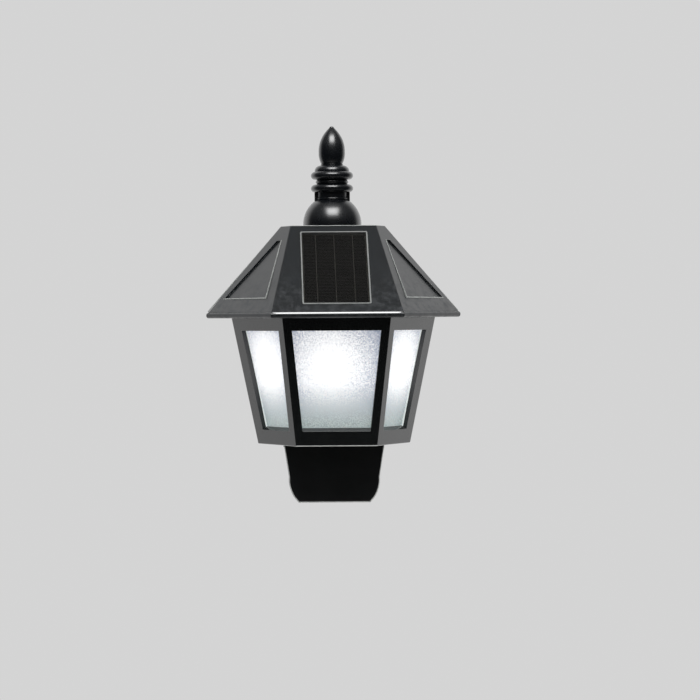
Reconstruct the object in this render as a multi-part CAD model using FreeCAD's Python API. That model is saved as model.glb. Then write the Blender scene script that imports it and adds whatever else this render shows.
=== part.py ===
import FreeCAD, Part
import math
import os

V = FreeCAD.Vector

# Half coach lantern for a wall or fence. X is to the right seen from the front, Z is up, and the
# wall is the plane Y = 0 with the lantern on its -Y side. The origin lies on the wall half way
# between the two wall screws. All sizes are in millimetres.

# Heights
screw_spacing = 80.0            # between the two wall screws
floor_drop = 60.6               # from the origin down to the underside of the lantern
tail_h = 39.4                   # wall tail below the lantern
body_h = 83.0                   # glazed body
eaves_h = 3.7                   # upright band round the roof
slope_h = 56.8                  # sloping part of the roof

# Plan: a straight part off the wall, then three sides of a hexagon
back_straight = 9.0
side_angle = 60.0
body_bottom_half = 50.2
body_bottom_front = 26.05
body_top_half = 67.3
body_top_front = 34.65
rim_half = 84.1
rim_front = 42.55
roof_top_half = 34.35
roof_top_front = 28.1
eaves_lip = 1.2                 # how far the band stands out from the slope

# Walls and clearances
body_wall = 3.6
roof_wall = 3.6                 # measured level, so about 2.5 square to the slope
floor_t = 2.6
roof_top_t = 3.0
wall_gap = 0.3                  # lantern to wall
seat = 0.05                     # between pieces that are screwed or glued together
fit = 0.25                      # round pieces that drop into a recess
small_sides = 8                 # flat sides of a small screw, boss or hole
wire_sides = 4                  # of a thin wire inside
move_gap = 0.3                  # between pieces on different bodies
corner_r = 1.1
hip_r = 1.5

# Wall bracket
bracket_t = 3.0
spine_half = 8.0
tongue_half = 11.7             # shows behind the neck of the finial
tongue_low = 5.0                # start of the wide tongue, below the roof's top
foot_half = 33.4                # at the lantern's underside
tail_mid_half = 30.0
tail_mid_drop = 22.5            # from the lantern's underside to the start of the round corners
tail_end_half = 23.6
tail_depth = 9.5
tail_wall = 2.4
tail_edge_r = 1.4
foot_h = 56.0                   # wide part of the bracket behind the body
tongue_h = 25.5                 # above the roof, ends behind the lower ring
screw_hole_r = 2.25
screw_sink_r = 4.6
screw_sink_t = 1.0
hook_w = 12.0
hook_stem_h = 4.0
hook_prong_h = 6.0              # above the stem
hook_prong_t = 2.6
lift_spare = 0.4                # lift beyond the prongs

# Back cover
cover_recess = 5.0              # from the wall plane to the cover
cover_t = 2.0
cover_seat = 2.0                # level wall thickness left round the cover
pocket_wall = 1.2
upper_hook_rise = 26.8          # top of the hook's stem, above the body
lower_hook_rise = 26.6          # above the underside
lower_hook_x = 20.0
cover_screw_r = 1.4
cover_screw_l = 7.0
cover_boss_l = 5.4
boss_r = 3.2

# Battery bay, AAA size
cell_r = 5.2
cell_l = 44.5
cell_nub_r = 1.9
cell_nub_l = 0.9
spring_l = 3.2
contact_t = 0.4
bay_x = 9.9                     # inner end of the bay, nearest to the bracket's spine
bay_rise = 4.4                  # floor of the bay, above the body
bay_wall = 1.2
bay_spare = 0.6                 # free height over the cell
bay_depth = 10.3
door_t = 1.8
door_lap = 1.3
door_off = 0.2                  # door to cover
knuckle_r = 1.6
pin_r = 0.8
pin_clear = 0.06
lug_w = 4.0

# Slide switch
switch_x = -32.0
switch_rise = 13.0              # middle of the switch, above the body
switch_w = 13.0
switch_h = 6.0
switch_d = 5.0
switch_travel = 2.5
knob_w = 3.2
knob_h = 3.0
knob_proud = 1.6

# Windows and panes
window_low = 10.3                # rail under each window
window_high = 8.3               # rail over each window
sill_h = 2.2                    # height of the sloped sill
front_stile = 5.1
side_stile = 6.9
rear_stile = 9.8
pane_t = 1.5
pane_lap = 2.1
guide_t = 1.2
guide_lip = 1.1
guide_side = 1.6

# Solar panel
panel_w = 44.0
panel_l = 69.4
panel_top = 5.9                 # from the roof's top edge, along the slope
panel_r = 1.2
gasket_w = 0.8
gasket_t = 0.6
panel_board_t = 1.2
solar_cell_t = 0.3
solar_cell_gap = 0.7
solar_edge = 1.0
panel_cover_t = 1.3
panel_sink = 0.2
panel_floor_t = 1.6
cell_count = 4

# Recessed ornament on the side slopes
ornament_low = 11.2             # from the face's lower edge, along the slope
ornament_high = 12.0
ornament_front = 10.8
ornament_rear = 6.0
ornament_taper = 5.0            # extra margin at the top of the rear edge
ornament_spread = 3.0           # less margin at the top of the front edge
ornament_t = 1.1

# Finial
dome_r = 19.4
dome_rise = 1.5                 # straight foot of the dome
neck_r = 10.9
groove_t = 0.9
ring_low = 22.7                 # underside of the lower ring, above the roof
ring_r = 14.05
ring_h = 6.0
ring_core_r = 11.2
ring_gap_h = 2.6
ring_gap_r = 10.6
collar_h = 4.0
bud_base_r = 6.9
bud_r = 8.8
bud_r_h = 7.8                   # from the foot of the bud to its widest
bud_h = 25.7
peg_r = 1.5
peg_l = 2.4
peg_x = 11.0
finial_screw_y = -10.5
finial_screw_r = 1.4
finial_screw_l = 12.0

# Inside the roof
tray_t = 2.4
tray_screw_r = 1.3
tray_screw_l = 5.6
screw_head_r = 2.6
screw_head_h = 1.4              # sunk into the tray
post_h = 3.0
pegged_corners = (0, 3)         # pegs at two opposite corners hold the board
board_w = 42.0
board_d = 24.0
board_t = 1.6
board_gap = 9.0                 # from the middle to the board
board_y = -36.0
coil_r = 3.6
coil_h = 5.0
chip_w = 5.0
chip_h = 1.8
lead_r = 0.6                    # one core of a twin lead
lead_spread = 1.3               # between its cores

# Reflector and lamp
reflector_t = 1.2
reflector_edge_in = 8.0         # floor of the dish to the body's floor and top
reflector_post_in = 16.0
reflector_gap = 1.6             # behind the hook pockets
reflector_depth = 6.0
reflector_margin = 14.5
reflector_flare = 5.5
led_rise = 48.6                 # above the underside
led_board_r = 8.0
led_board_t = 1.2
led_r = 2.5
led_l = 5.4

# Heights and depths that follow
floor_z = -floor_drop
body_top_z = floor_z + body_h
eaves_top_z = body_top_z + eaves_h
bay_z = body_top_z + bay_rise
switch_z = body_top_z + switch_rise
upper_hook_z = body_top_z + upper_hook_rise
lower_hook_z = floor_z + lower_hook_rise
led_z = floor_z + led_rise
roof_top_z = eaves_top_z + slope_h
cover_out_y = -cover_recess
cover_in_y = cover_out_y - cover_t
tray_top_z = body_top_z + tray_t
board_x = -board_gap - board_w / 2
prong_y = cover_in_y - move_gap
lead_pitch = V(-lead_spread, 0, 0)
pocket_y = prong_y - hook_prong_t - move_gap - pocket_wall
reflector_y = pocket_y - reflector_gap
lamp_lead_y = reflector_y + 1.5 * lead_r
lift_travel = hook_prong_h + lift_spare
slot_h = hook_stem_h + lift_travel + 2 * move_gap
ANGLE = math.radians(side_angle)


# ---------------------------------------------------------------- helpers

def box(x0, x1, y0, y1, z0, z1):
    return Part.makeBox(x1 - x0, y1 - y0, z1 - z0, V(x0, y0, z0))


def cylinder(radius, start, end):
    return Part.makeCylinder(radius, (end - start).Length, start, end - start)


def ring_points(radius, centre, along, sides):
    """Corners of a regular polygon, square to along."""
    across = along.cross(V(0, 0.5, 1.0)).normalize()
    other = V(along).normalize().cross(across)
    turns = [2 * math.pi * i / sides for i in range(sides)]
    return [centre + across * (radius * math.cos(t)) + other * (radius * math.sin(t))
            for t in turns]


def small_round(radius, start, end):
    """Small boss, screw or hole, with a few flat sides so that many of them stay light."""
    along = end - start
    return Part.Face(polygon(ring_points(radius, start, along, small_sides))).extrude(along)


def mirrored(shape):
    return shape.mirror(V(0, 0, 0), V(1, 0, 0))


def both_sides(shape):
    return [shape, mirrored(shape)]


def polygon(points):
    return Part.makePolygon(points + points[:1])


def taper(lower, upper):
    """Solid with flat sides between two outlines of as many points."""
    sides = [polygon([lower[i - 1], lower[i], upper[i], upper[i - 1]]) for i in range(len(lower))]
    shell = Part.Shell([Part.Face(wire) for wire in sides + [polygon(lower), polygon(upper)]])
    shell.sewShape()
    solid = Part.Solid(shell)
    if solid.Volume < 0:
        solid.reverse()
    return solid


def rounded(shape, radius, wanted):
    edges = [edge for edge in shape.Edges if wanted(edge)]
    return shape.makeFillet(radius, edges) if edges else shape


def upright(edge):
    start, end = edge.Vertexes[0].Point, edge.Vertexes[-1].Point
    return abs(end.z - start.z) > 0.6 * (end - start).Length


def whole(shape):
    return shape.removeSplitter()


def half_hexagon(half_back, half_front, z, inset, back_y):
    """Outline of the plan at height z, drawn in by inset, with its wall side at back_y."""
    depth = back_straight + (half_back - half_front) * math.tan(ANGLE)
    back = half_back - inset
    front = half_front - inset * (1 - math.cos(ANGLE)) / math.sin(ANGLE)
    straight = back_straight - inset * (1 - math.sin(ANGLE)) / math.cos(ANGLE)
    right = [V(front, inset - depth, z), V(back, -straight, z), V(back, back_y, z)]
    left = [V(-p.x, p.y, z) for p in reversed(right)]
    return left + right


def between(z, low_z, high_z, low, high):
    share = (z - low_z) / (high_z - low_z)
    return low + (high - low) * share


def body_halves(z):
    return (between(z, floor_z, body_top_z, body_bottom_half, body_top_half),
            between(z, floor_z, body_top_z, body_bottom_front, body_top_front))


def roof_halves(z):
    front_lip = eaves_lip * (1 - math.cos(ANGLE)) / math.sin(ANGLE)
    return (between(z, eaves_top_z, roof_top_z, rim_half - eaves_lip, roof_top_half),
            between(z, eaves_top_z, roof_top_z, rim_front - front_lip, roof_top_front))


def body_plan(z, inset=0.0, back_y=-wall_gap):
    return half_hexagon(*body_halves(z), z, inset, back_y)


def roof_plan(z, inset=0.0, back_y=-wall_gap):
    return half_hexagon(*roof_halves(z), z, inset, back_y)


class Slope:
    """A sloping face with its own axes: u across, v up the slope, w outwards."""

    def __init__(self, lower, upper, first):
        low_a, low_b = lower[first], lower[first + 1]
        high_a, high_b = upper[first], upper[first + 1]
        self.origin = (low_a + low_b) * 0.5
        self.u = (low_b - low_a).normalize()
        rise = (high_a + high_b) * 0.5 - self.origin
        rise = rise - self.u * rise.dot(self.u)
        self.length = rise.Length
        self.v = V(rise).normalize()
        self.w = self.u.cross(self.v)
        self.a = [(p - self.origin).dot(self.u) for p in (low_a, high_a)]
        self.b = [(p - self.origin).dot(self.u) for p in (low_b, high_b)]

    def point(self, u, v, w=0.0):
        return self.origin + self.u * u + self.v * v + self.w * w

    def level(self, z):
        return (z - self.origin.z) / self.v.z

    def trapezoid(self, v0, v1, margin_a, margin_b, extra_a=0.0, extra_b=0.0):
        a = [between(v, 0, self.length, *self.a) + margin_a for v in (v0, v1)]
        b = [between(v, 0, self.length, *self.b) - margin_b for v in (v0, v1)]
        return [(a[0], v0), (b[0], v0), (b[1] - extra_b, v1), (a[1] + extra_a, v1)]

    def rectangle(self, width, v0, v1):
        return [(-width / 2, v0), (width / 2, v0), (width / 2, v1), (-width / 2, v1)]

    def points(self, outline, w):
        return [self.point(u, v, w) for u, v in outline]

    def prism(self, outline, w0, w1, radius=0.0):
        solid = Part.Face(polygon(self.points(outline, w0))).extrude(self.w * (w1 - w0))
        if radius:
            along = lambda edge: abs(edge.tangentAt(edge.FirstParameter).dot(self.w)) > 0.99
            solid = rounded(solid, radius, along)
        return solid


FRONT, RIGHT = range(2, 4)
body_front = Slope(body_plan(floor_z), body_plan(body_top_z), FRONT)
body_side = Slope(body_plan(floor_z), body_plan(body_top_z), RIGHT)
roof_front = Slope(roof_plan(eaves_top_z), roof_plan(roof_top_z), FRONT)
roof_side = Slope(roof_plan(eaves_top_z), roof_plan(roof_top_z), RIGHT)


def screw(base, direction, shank_r, shank_l, head_r, head_h):
    """Pan-head screw: base is under the head and direction points along the shank."""
    along = V(direction).normalize()
    return small_round(shank_r, base, base + along * shank_l).fuse(
        small_round(head_r, base, base - along * head_h))


def twin_lead(points, spread):
    """Flat lead of two cores side by side, along straight runs joined by tangent arcs."""
    edges, at = [], points[0]
    for before, corner, after in zip(points, points[1:], points[2:]):
        into = (corner - before).normalize()
        out = (after - corner).normalize()
        turn = into.getAngle(out)
        run = min((corner - before).Length, (after - corner).Length)
        back = 0.45 * run
        bend = back / math.tan(turn / 2)
        start, end = corner - into * back, corner + out * back
        centre_way = (out - into).normalize()
        middle = corner + centre_way * (bend / math.cos(turn / 2) - bend)
        edges.append(Part.LineSegment(at, start).toShape())
        edges.append(Part.Arc(start, middle, end).toShape())
        at = end
    edges.append(Part.LineSegment(at, points[-1]).toShape())
    wide = V(spread).normalize() * (spread.Length / 2 + lead_r)
    thick = (points[1] - points[0]).cross(spread).normalize() * lead_r
    section = polygon([points[0] + wide + thick, points[0] + wide - thick,
                       points[0] - wide - thick, points[0] - wide + thick])
    return Part.Wire(edges).makePipeShell([section], True, False)


# ---------------------------------------------------------------- wall bracket

def tail_outline(inset, z_top):
    """Outline of the tail seen from the front, in the wall plane."""
    low = floor_z - tail_h + inset
    mid = V(tail_mid_half - inset, 0, floor_z - tail_mid_drop)
    end = V(tail_end_half - inset * 0.7, 0, low)
    top = V(foot_half - inset, 0, z_top)
    bulge = V(end.x + (mid.x - end.x) * 0.74, 0, low + (mid.z - low) * 0.40)
    flip = lambda p: V(-p.x, 0, p.z)
    return Part.Wire([
        Part.LineSegment(flip(top), top).toShape(),
        Part.LineSegment(top, mid).toShape(),
        Part.Arc(mid, bulge, end).toShape(),
        Part.LineSegment(end, flip(end)).toShape(),
        Part.Arc(flip(end), flip(bulge), flip(mid)).toShape(),
        Part.LineSegment(flip(mid), flip(top)).toShape()])


def rounded_tail(top_z):
    """Tail with its front edge rolled over in two bevels."""
    levels = [(0.0, 0.0), (0.0, tail_edge_r - tail_depth),
              (0.3 * tail_edge_r, 0.3 * tail_edge_r - tail_depth), (tail_edge_r, -tail_depth)]
    wires = []
    for inset, y in levels:
        wire = tail_outline(inset, top_z - inset)
        wire.translate(V(0, y, 0))
        wires.append(wire)
    return Part.makeLoft(wires, True, True)


def hook(x, stem_z):
    half = hook_w / 2
    stem = box(x - half, x + half, prong_y - 1.0, -bracket_t + 0.5, stem_z - hook_stem_h, stem_z)
    prong = box(x - half, x + half, prong_y - hook_prong_t, prong_y,
                stem_z - hook_stem_h, stem_z + hook_prong_h)
    lead_in = lambda edge: (abs(edge.tangentAt(edge.FirstParameter).x) > 0.99
                            and edge.CenterOfMass.z > stem_z + hook_prong_h - 0.1)
    return prong.makeChamfer(hook_prong_t * 0.35, [e for e in prong.Edges if lead_in(e)]).fuse(stem)


def make_wall_bracket():
    """Plate screwed to the wall, with the tail that shows below and the hooks for the lantern."""
    top_z = floor_z - move_gap
    tail = rounded_tail(top_z)
    hollow = Part.Face(tail_outline(tail_wall, top_z - tail_wall)).extrude(V(0, tail_wall - tail_depth, 0))
    tail = tail.cut(hollow)
    foot_top = floor_z + foot_h
    shoulder = foot_top + (foot_half - spine_half)
    tongue_top = roof_top_z + tongue_h
    head = roof_top_z - tongue_low
    side = [V(foot_half, 0, top_z - tail_wall), V(foot_half, 0, foot_top),
            V(spine_half, 0, shoulder), V(spine_half, 0, head - (tongue_half - spine_half)),
            V(tongue_half, 0, head), V(tongue_half, 0, tongue_top)]
    outline = side + [V(-p.x, 0, p.z) for p in reversed(side)]
    plate = Part.Face(polygon(outline)).extrude(V(0, -bracket_t, 0))
    along_y = lambda e: abs(e.tangentAt(e.FirstParameter).y) > 0.99
    plate = rounded(plate, 2.5, lambda e: along_y(e) and e.CenterOfMass.z > tail_wall + top_z)
    solid = tail.fuse(plate)
    ribs = [box(x - 0.8, x + 0.8, tail_wall - tail_depth - 0.1, 0,
                floor_z - tail_h + tail_wall * 0.5, top_z - tail_wall * 0.5) for x in (-10.0, 10.0)]
    for piece in ribs + [hook(0, upper_hook_z), hook(lower_hook_x, lower_hook_z),
                         hook(-lower_hook_x, lower_hook_z)]:
        solid = solid.fuse(piece)
    for z in (-screw_spacing / 2, screw_spacing / 2):
        solid = solid.cut(cylinder(screw_hole_r, V(0, 1, z), V(0, -bracket_t - 1, z)))
        solid = solid.cut(cylinder(screw_sink_r, V(0, screw_sink_t - bracket_t, z),
                                   V(0, -bracket_t - 1, z)))
    return whole(solid)


# ---------------------------------------------------------------- roof

def panel_levels():
    high = roof_front.length - panel_top
    return high - panel_l, high


panel_low, panel_high = panel_levels()
panel_depth = panel_sink + panel_cover_t + solar_cell_t + panel_board_t + gasket_t


def roof_boss_places():
    """Screw bosses between the band of the roof and the top of the body."""
    rim_depth = -half_hexagon(*roof_halves(eaves_top_z), 0, 0, 0)[FRONT].y
    body_depth = -half_hexagon(*body_halves(body_top_z), 0, 0, 0)[FRONT].y
    front_y = -(rim_depth + body_depth) / 2 + 0.4
    beyond = 5.5
    side_x = (rim_half - eaves_lip - roof_wall + body_top_half) / 2 - beyond / math.tan(ANGLE)
    side_y = -back_straight - beyond
    return [V(rim_front * 0.8, front_y, 0), V(-rim_front * 0.8, front_y, 0),
            V(side_x, side_y, 0), V(-side_x, side_y, 0)]


def make_roof():
    band = Part.Face(polygon(half_hexagon(rim_half, rim_front, body_top_z, 0, -wall_gap)))
    band = band.extrude(V(0, 0, eaves_h))
    band = rounded(band, eaves_h * 0.45, lambda e: not upright(e) and e.CenterOfMass.y < -wall_gap - 0.1)
    slope = taper(roof_plan(eaves_top_z), roof_plan(roof_top_z))
    slope = rounded(slope, hip_r, lambda e: upright_on_slope(e) and e.CenterOfMass.y < -wall_gap - 1)
    slope = rounded(slope, 0.8, lambda e: e.CenterOfMass.z > roof_top_z - 0.01
                    and e.CenterOfMass.y < -wall_gap - 0.1)
    outer = band.fuse(slope)
    under_top = roof_top_z - roof_top_t
    cavity = taper(roof_plan(eaves_top_z, roof_wall, cover_in_y),
                   roof_plan(under_top, roof_wall, cover_in_y))
    rim_hole = Part.Face(polygon(roof_plan(eaves_top_z, roof_wall, cover_in_y)))
    rim_hole = rim_hole.extrude(V(0, 0, -eaves_h))
    solid = outer.cut(cavity).cut(rim_hole).cut(roof_cover_pocket())
    solid = solid.fuse(panel_tub().common(outer))
    for place in roof_boss_places():
        boss = small_round(boss_r, place + V(0, 0, tray_top_z + seat), place + V(0, 0, roof_top_z))
        solid = solid.fuse(boss.common(slope))
    solid = solid.cut(panel_recess())
    for place in roof_boss_places():
        solid = solid.cut(small_round(tray_screw_r, place + V(0, 0, body_top_z - 1),
                                   place + V(0, 0, tray_top_z + tray_screw_l)))
    for shape in both_sides(ornament_recess()):
        solid = solid.cut(shape)
    for x, y in cover_boss_places(roof=True):
        solid = solid.fuse(cover_boss(x, y).common(slope)).cut(cover_screw_hole(x, y))
    solid = solid.cut(tongue_notch()).cut(finial_holes())
    return whole(solid)


def upright_on_slope(edge):
    start, end = edge.Vertexes[0].Point, edge.Vertexes[-1].Point
    return abs(end.z - start.z) > 1.0


def roof_cover_pocket():
    """Seat for the back cover, cut from the wall side, with a thinner wall round it."""
    low = roof_plan(eaves_top_z, cover_seat, 1.0)
    high = roof_plan(roof_top_z - roof_top_t + 1.0, cover_seat, 1.0)
    pocket = taper(low, high)
    pocket = pocket.fuse(Part.Face(polygon(low)).extrude(V(0, 0, -eaves_h)))
    return pocket.common(box(-rim_half, rim_half, cover_in_y, 1.0, body_top_z - 1, roof_top_z))


def panel_tub():
    rim = panel_floor_t + fit
    outline = roof_front.rectangle(panel_w + 2 * rim, panel_low - rim, panel_high + rim)
    return roof_front.prism(outline, -panel_depth - panel_floor_t, 0.0)


def panel_recess():
    outline = roof_front.rectangle(panel_w + 2 * seat, panel_low - seat, panel_high + seat)
    recess = roof_front.prism(outline, -panel_depth, 2.0, panel_r)
    start = roof_front.point(0, panel_low + 12.0, 0.5 - panel_depth)
    return recess.fuse(small_round(3.0, start, start - roof_front.w * 5.0))


def ornament_recess():
    outline = roof_side.trapezoid(ornament_low, roof_side.length - ornament_high,
                                  ornament_front, ornament_rear, -ornament_spread, ornament_taper)
    return roof_side.prism(outline, -ornament_t, 2.0)


def tongue_notch():
    half = tongue_half + move_gap
    return box(-half, half, -bracket_t - move_gap, 1.0, roof_top_z - roof_top_t - 2, roof_top_z + 1)


def finial_holes():
    """Screw hole and peg holes through the roof's flat top."""
    low = V(0, finial_screw_y, roof_top_z - roof_top_t - 1)
    holes = small_round(finial_screw_r + fit, low, low + V(0, 0, roof_top_t + 2))
    for x in (-peg_x, peg_x):
        top = V(x, finial_screw_y, roof_top_z + 1)
        holes = holes.fuse(small_round(peg_r + seat, top, top - V(0, 0, peg_l + 1.3)))
    return holes


# ---------------------------------------------------------------- finial

def swell(core_r, low_z, bulge, height, start, end, steps):
    """Points of a round moulding: an ellipse beside core_r, from one angle to another."""
    angles = [math.radians(start + (end - start) * i / steps) for i in range(steps + 1)]
    return [(core_r + bulge * math.cos(a), low_z + height * (1 + math.sin(a)) / 2) for a in angles]


def finial_outline():
    """Half section, as radius and height: dome, grooved neck, two rings, collar and bud."""
    foot = roof_top_z
    centre = foot + dome_rise
    dome_end = math.degrees(math.acos(neck_r / dome_r))
    dome_top = centre + math.sqrt(dome_r ** 2 - neck_r ** 2)
    points = [(0, foot), (dome_r, foot)]
    points += swell(0, centre - dome_r, dome_r, 2 * dome_r, 0, dome_end, 4)
    points += [(neck_r - 0.5, dome_top + 0.1), (neck_r, dome_top + groove_t)]
    z = foot + ring_low
    points.append((neck_r, z))
    bulge = ring_r - ring_core_r
    points += swell(ring_core_r, z, bulge, ring_h, -75, 75, 3)
    z += ring_h
    points += [(ring_gap_r, z), (ring_gap_r, z + ring_gap_h)]
    z += ring_gap_h
    points += swell(ring_core_r, z, bulge, ring_h, -75, 75, 3)
    z += ring_h
    points += [(ring_core_r - 1.6, z + collar_h * 0.6), (bud_base_r, z + collar_h)]
    z += collar_h
    widest = z + bud_r_h
    points += [(bud_r - 0.5, z + bud_r_h * 0.4), (bud_r, widest)]
    rise = bud_h - bud_r_h
    points += swell(0, widest - rise, bud_r, 2 * rise, 0, 80, 4)[1:]
    points.append((0, points[-1][1]))
    return [V(r, 0, height) for r, height in points]


def make_finial():
    """Half of a turned finial, flat against the wall, with a groove for the bracket's tongue."""
    outline = finial_outline()
    foot, tip_z = roof_top_z, outline[-1].z
    solid = Part.Face(polygon(outline)).revolve(V(0, 0, 0), V(0, 0, 1), 360)
    solid = solid.cut(box(-dome_r - 1, dome_r + 1, -wall_gap, dome_r + 1, foot - 1, tip_z + 1))
    half, top = tongue_half + move_gap, foot + tongue_h + move_gap
    solid = solid.cut(box(-half, half, -bracket_t - move_gap, 1, foot - 1, top))
    for x in (-peg_x, peg_x):
        peg = V(x, finial_screw_y, foot + 0.5)
        solid = solid.fuse(small_round(peg_r, peg, peg - V(0, 0, peg_l + 0.5)))
    low = V(0, finial_screw_y, foot - 1)
    solid = solid.cut(small_round(finial_screw_r + seat, low, low + V(0, 0, finial_screw_l)))
    return whole(solid)


def make_finial_screw():
    base = V(0, finial_screw_y, roof_top_z - roof_top_t)
    length = roof_top_t + finial_screw_l - 3.0
    return screw(base, V(0, 0, 1), finial_screw_r, length, 3.0, 2.0)


# ---------------------------------------------------------------- solar panel

def panel_layer(inset, w_low, thickness, radius=0.0):
    outline = roof_front.rectangle(panel_w - 2 * inset, panel_low + inset, panel_high - inset)
    return roof_front.prism(outline, w_low, w_low + thickness, radius)


def make_panel_gasket():
    ring = panel_layer(0, -panel_depth, panel_depth + 0.25, panel_r)
    ring = ring.cut(panel_layer(gasket_w, gasket_t - panel_depth, panel_depth, panel_r * 0.6))
    return ring.cut(panel_layer(gasket_w + 4.0, -panel_depth - 1, gasket_t + 2))


def make_panel_board():
    return panel_layer(gasket_w + seat, gasket_t - panel_depth, panel_board_t, panel_r * 0.6)


def make_solar_cells():
    base_w = gasket_t - panel_depth + panel_board_t
    width = panel_w - 2 * (gasket_w + solar_edge)
    pitch = (width + solar_cell_gap) / cell_count
    low, high = panel_low + gasket_w + solar_edge, panel_high - gasket_w - solar_edge
    cells = []
    for index in range(cell_count):
        u0 = -width / 2 + index * pitch
        u1 = u0 + pitch - solar_cell_gap
        outline = [(u0, low), (u1, low), (u1, high), (u0, high)]
        cells.append(roof_front.prism(outline, base_w, base_w + solar_cell_t))
    return Part.Compound(cells)


def make_panel_cover():
    base_w = gasket_t - panel_depth + panel_board_t + solar_cell_t
    return panel_layer(gasket_w + seat, base_w, panel_cover_t, panel_r * 0.5)


# ---------------------------------------------------------------- lantern body

def window_levels(slope):
    return slope.level(floor_z + window_low), slope.level(body_top_z - window_high)


def window_cut(slope, margin_a, margin_b):
    """Window through the wall, with a sill that slopes outwards."""
    low, high = window_levels(slope)
    outer = slope.trapezoid(low - sill_h * 0.5, high, margin_a, margin_b)
    inner = slope.trapezoid(low + sill_h * 0.5, high, margin_a, margin_b)
    return taper(slope.points(outer, 0.6), slope.points(inner, -body_wall - 0.6))


def corner_guide(z):
    """Section of the channel in a front corner that holds two panes by their edges."""
    corner = body_plan(z, body_wall)[FRONT + 1]
    along_front, into_front = V(-1, 0, 0), V(0, 1, 0)
    along_side = V(math.cos(ANGLE), math.sin(ANGLE), 0)
    into_side = V(-math.sin(ANGLE), math.cos(ANGLE), 0)
    behind = pane_t + 3 * seat
    flank = guide_side / math.cos(math.radians(10))

    def flange(along, into):
        foot = corner + along * flank
        lip = foot + along * guide_lip
        return [foot, foot + into * behind, lip + into * behind, lip + into * (behind + guide_t)]

    front = flange(along_front, into_front)
    side = flange(along_side, into_side)
    outside = corner - (into_front + into_side) * 0.3
    inner_turn = corner + (into_front + into_side).normalize() * (behind + guide_t) / math.cos(ANGLE / 2)
    return [outside] + front + [inner_turn] + list(reversed(side))


def rear_guide(z):
    """Section of the channel behind the rear edge of a side pane."""
    corner = body_plan(z, body_wall)[FRONT + 2]
    along = V(-math.cos(ANGLE), -math.sin(ANGLE), 0)
    into = V(-math.sin(ANGLE), math.cos(ANGLE), 0)
    inner_shift = body_wall * math.tan(math.radians(90 - side_angle) / 2)
    start = corner + along * (rear_stile - pane_lap - guide_t - fit - inner_shift)
    behind = pane_t + 3 * seat
    foot = start + along * guide_t
    lip = foot + along * guide_lip
    return [start - into * 0.3, start + into * (behind + guide_t), lip + into * (behind + guide_t),
            lip + into * behind, foot + into * behind, foot - into * 0.3]


def body_bosses():
    """Bosses at the top of the body for the screws that come down through the tray."""
    front_wall = body_plan(body_top_z, body_wall)[FRONT].y
    side = body_plan(body_top_z, body_wall)[FRONT + 2]
    return [V(body_top_front * 0.55, front_wall + boss_r, 0),
            V(side.x - boss_r - 1.0, cover_in_y - boss_r - fit, 0)]


def make_lantern_body():
    """Tapered cage of three windows, moulded in one with its floor."""
    outer = taper(body_plan(floor_z), body_plan(body_top_z))
    outer = rounded(outer, corner_r, lambda e: upright(e) and e.CenterOfMass.y < -wall_gap - 1)
    outer = rounded(outer, 0.7, lambda e: e.CenterOfMass.z < floor_z + 0.01
                    and e.CenterOfMass.y < -wall_gap - 0.1)
    inner_floor = floor_z + floor_t
    cavity = taper(body_plan(inner_floor, body_wall, cover_in_y),
                   body_plan(body_top_z + 1, body_wall, cover_in_y))
    solid = outer.cut(cavity)
    low = body_plan(inner_floor - 1.0, cover_seat, 1.0)
    high = body_plan(body_top_z + 1, cover_seat, 1.0)
    pocket = taper(low, high)
    solid = solid.cut(pocket.common(box(-rim_half, rim_half, cover_in_y, 1.0, floor_z, body_top_z + 1)))
    solid = solid.cut(window_cut(body_front, front_stile, front_stile))
    for cut in both_sides(window_cut(body_side, side_stile, rear_stile)):
        solid = solid.cut(cut)
    for section in (corner_guide, rear_guide):
        guide = taper(section(inner_floor - 0.5), section(body_top_z - 1.0))
        for piece in both_sides(guide):
            solid = solid.fuse(piece)
    for place in body_bosses():
        top = place + V(0, 0, body_top_z)
        boss = small_round(boss_r, top, top - V(0, 0, 5.2)).common(outer)
        for piece in both_sides(boss.cut(small_round(tray_screw_r, top, top - V(0, 0, 4.6)))):
            solid = solid.fuse(piece)
        for hole in both_sides(small_round(tray_screw_r, top + V(0, 0, 1), top - V(0, 0, 4.6))):
            solid = solid.cut(hole)
    for x, z in cover_boss_places(roof=False):
        solid = solid.fuse(cover_boss(x, z).common(outer)).cut(cover_screw_hole(x, z))
    half = foot_half + move_gap
    solid = solid.cut(box(-half, half, -bracket_t - move_gap, 1, floor_z - 1, floor_z + floor_t + 1))
    return whole(solid)


def pane(slope, margin_a, margin_b):
    """Frosted pane that drops into the guides from above."""
    low = slope.level(floor_z + floor_t + seat) + pane_t * 0.2
    high = window_levels(slope)[1] + pane_lap
    outline = slope.trapezoid(low, high, margin_a, margin_b)
    face_w = -body_wall * slope.v.z - seat
    return slope.prism(outline, face_w - pane_t, face_w)


inner_shift = body_wall * (1 - math.cos(ANGLE)) / math.sin(ANGLE)


def make_front_pane():
    margin = inner_shift + guide_side + fit
    return pane(body_front, margin, margin)


def make_right_pane():
    return pane(body_side, inner_shift + guide_side + fit, rear_stile - pane_lap)


# ---------------------------------------------------------------- back cover

def cover_boss_places(roof):
    """Screw places round the back cover, as x and z."""
    if roof:
        z_low, z_high = eaves_top_z + 5.0, roof_top_z - roof_top_t - boss_r - 1.5
        x_low = roof_halves(z_low)[0] - roof_wall - boss_r + 0.8
        x_high = roof_halves(z_high)[0] - roof_wall - boss_r + 0.8
        return [(x_low, z_low), (-x_low, z_low), (x_high, z_high), (-x_high, z_high)]
    z_low = floor_z + floor_t + boss_r - 0.5
    x_low = body_halves(z_low)[0] - body_wall - boss_r + 0.6
    return [(x_low, z_low), (-x_low, z_low)]


def cover_boss(x, z):
    return small_round(boss_r, V(x, cover_in_y, z), V(x, cover_in_y - cover_boss_l, z))


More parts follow.
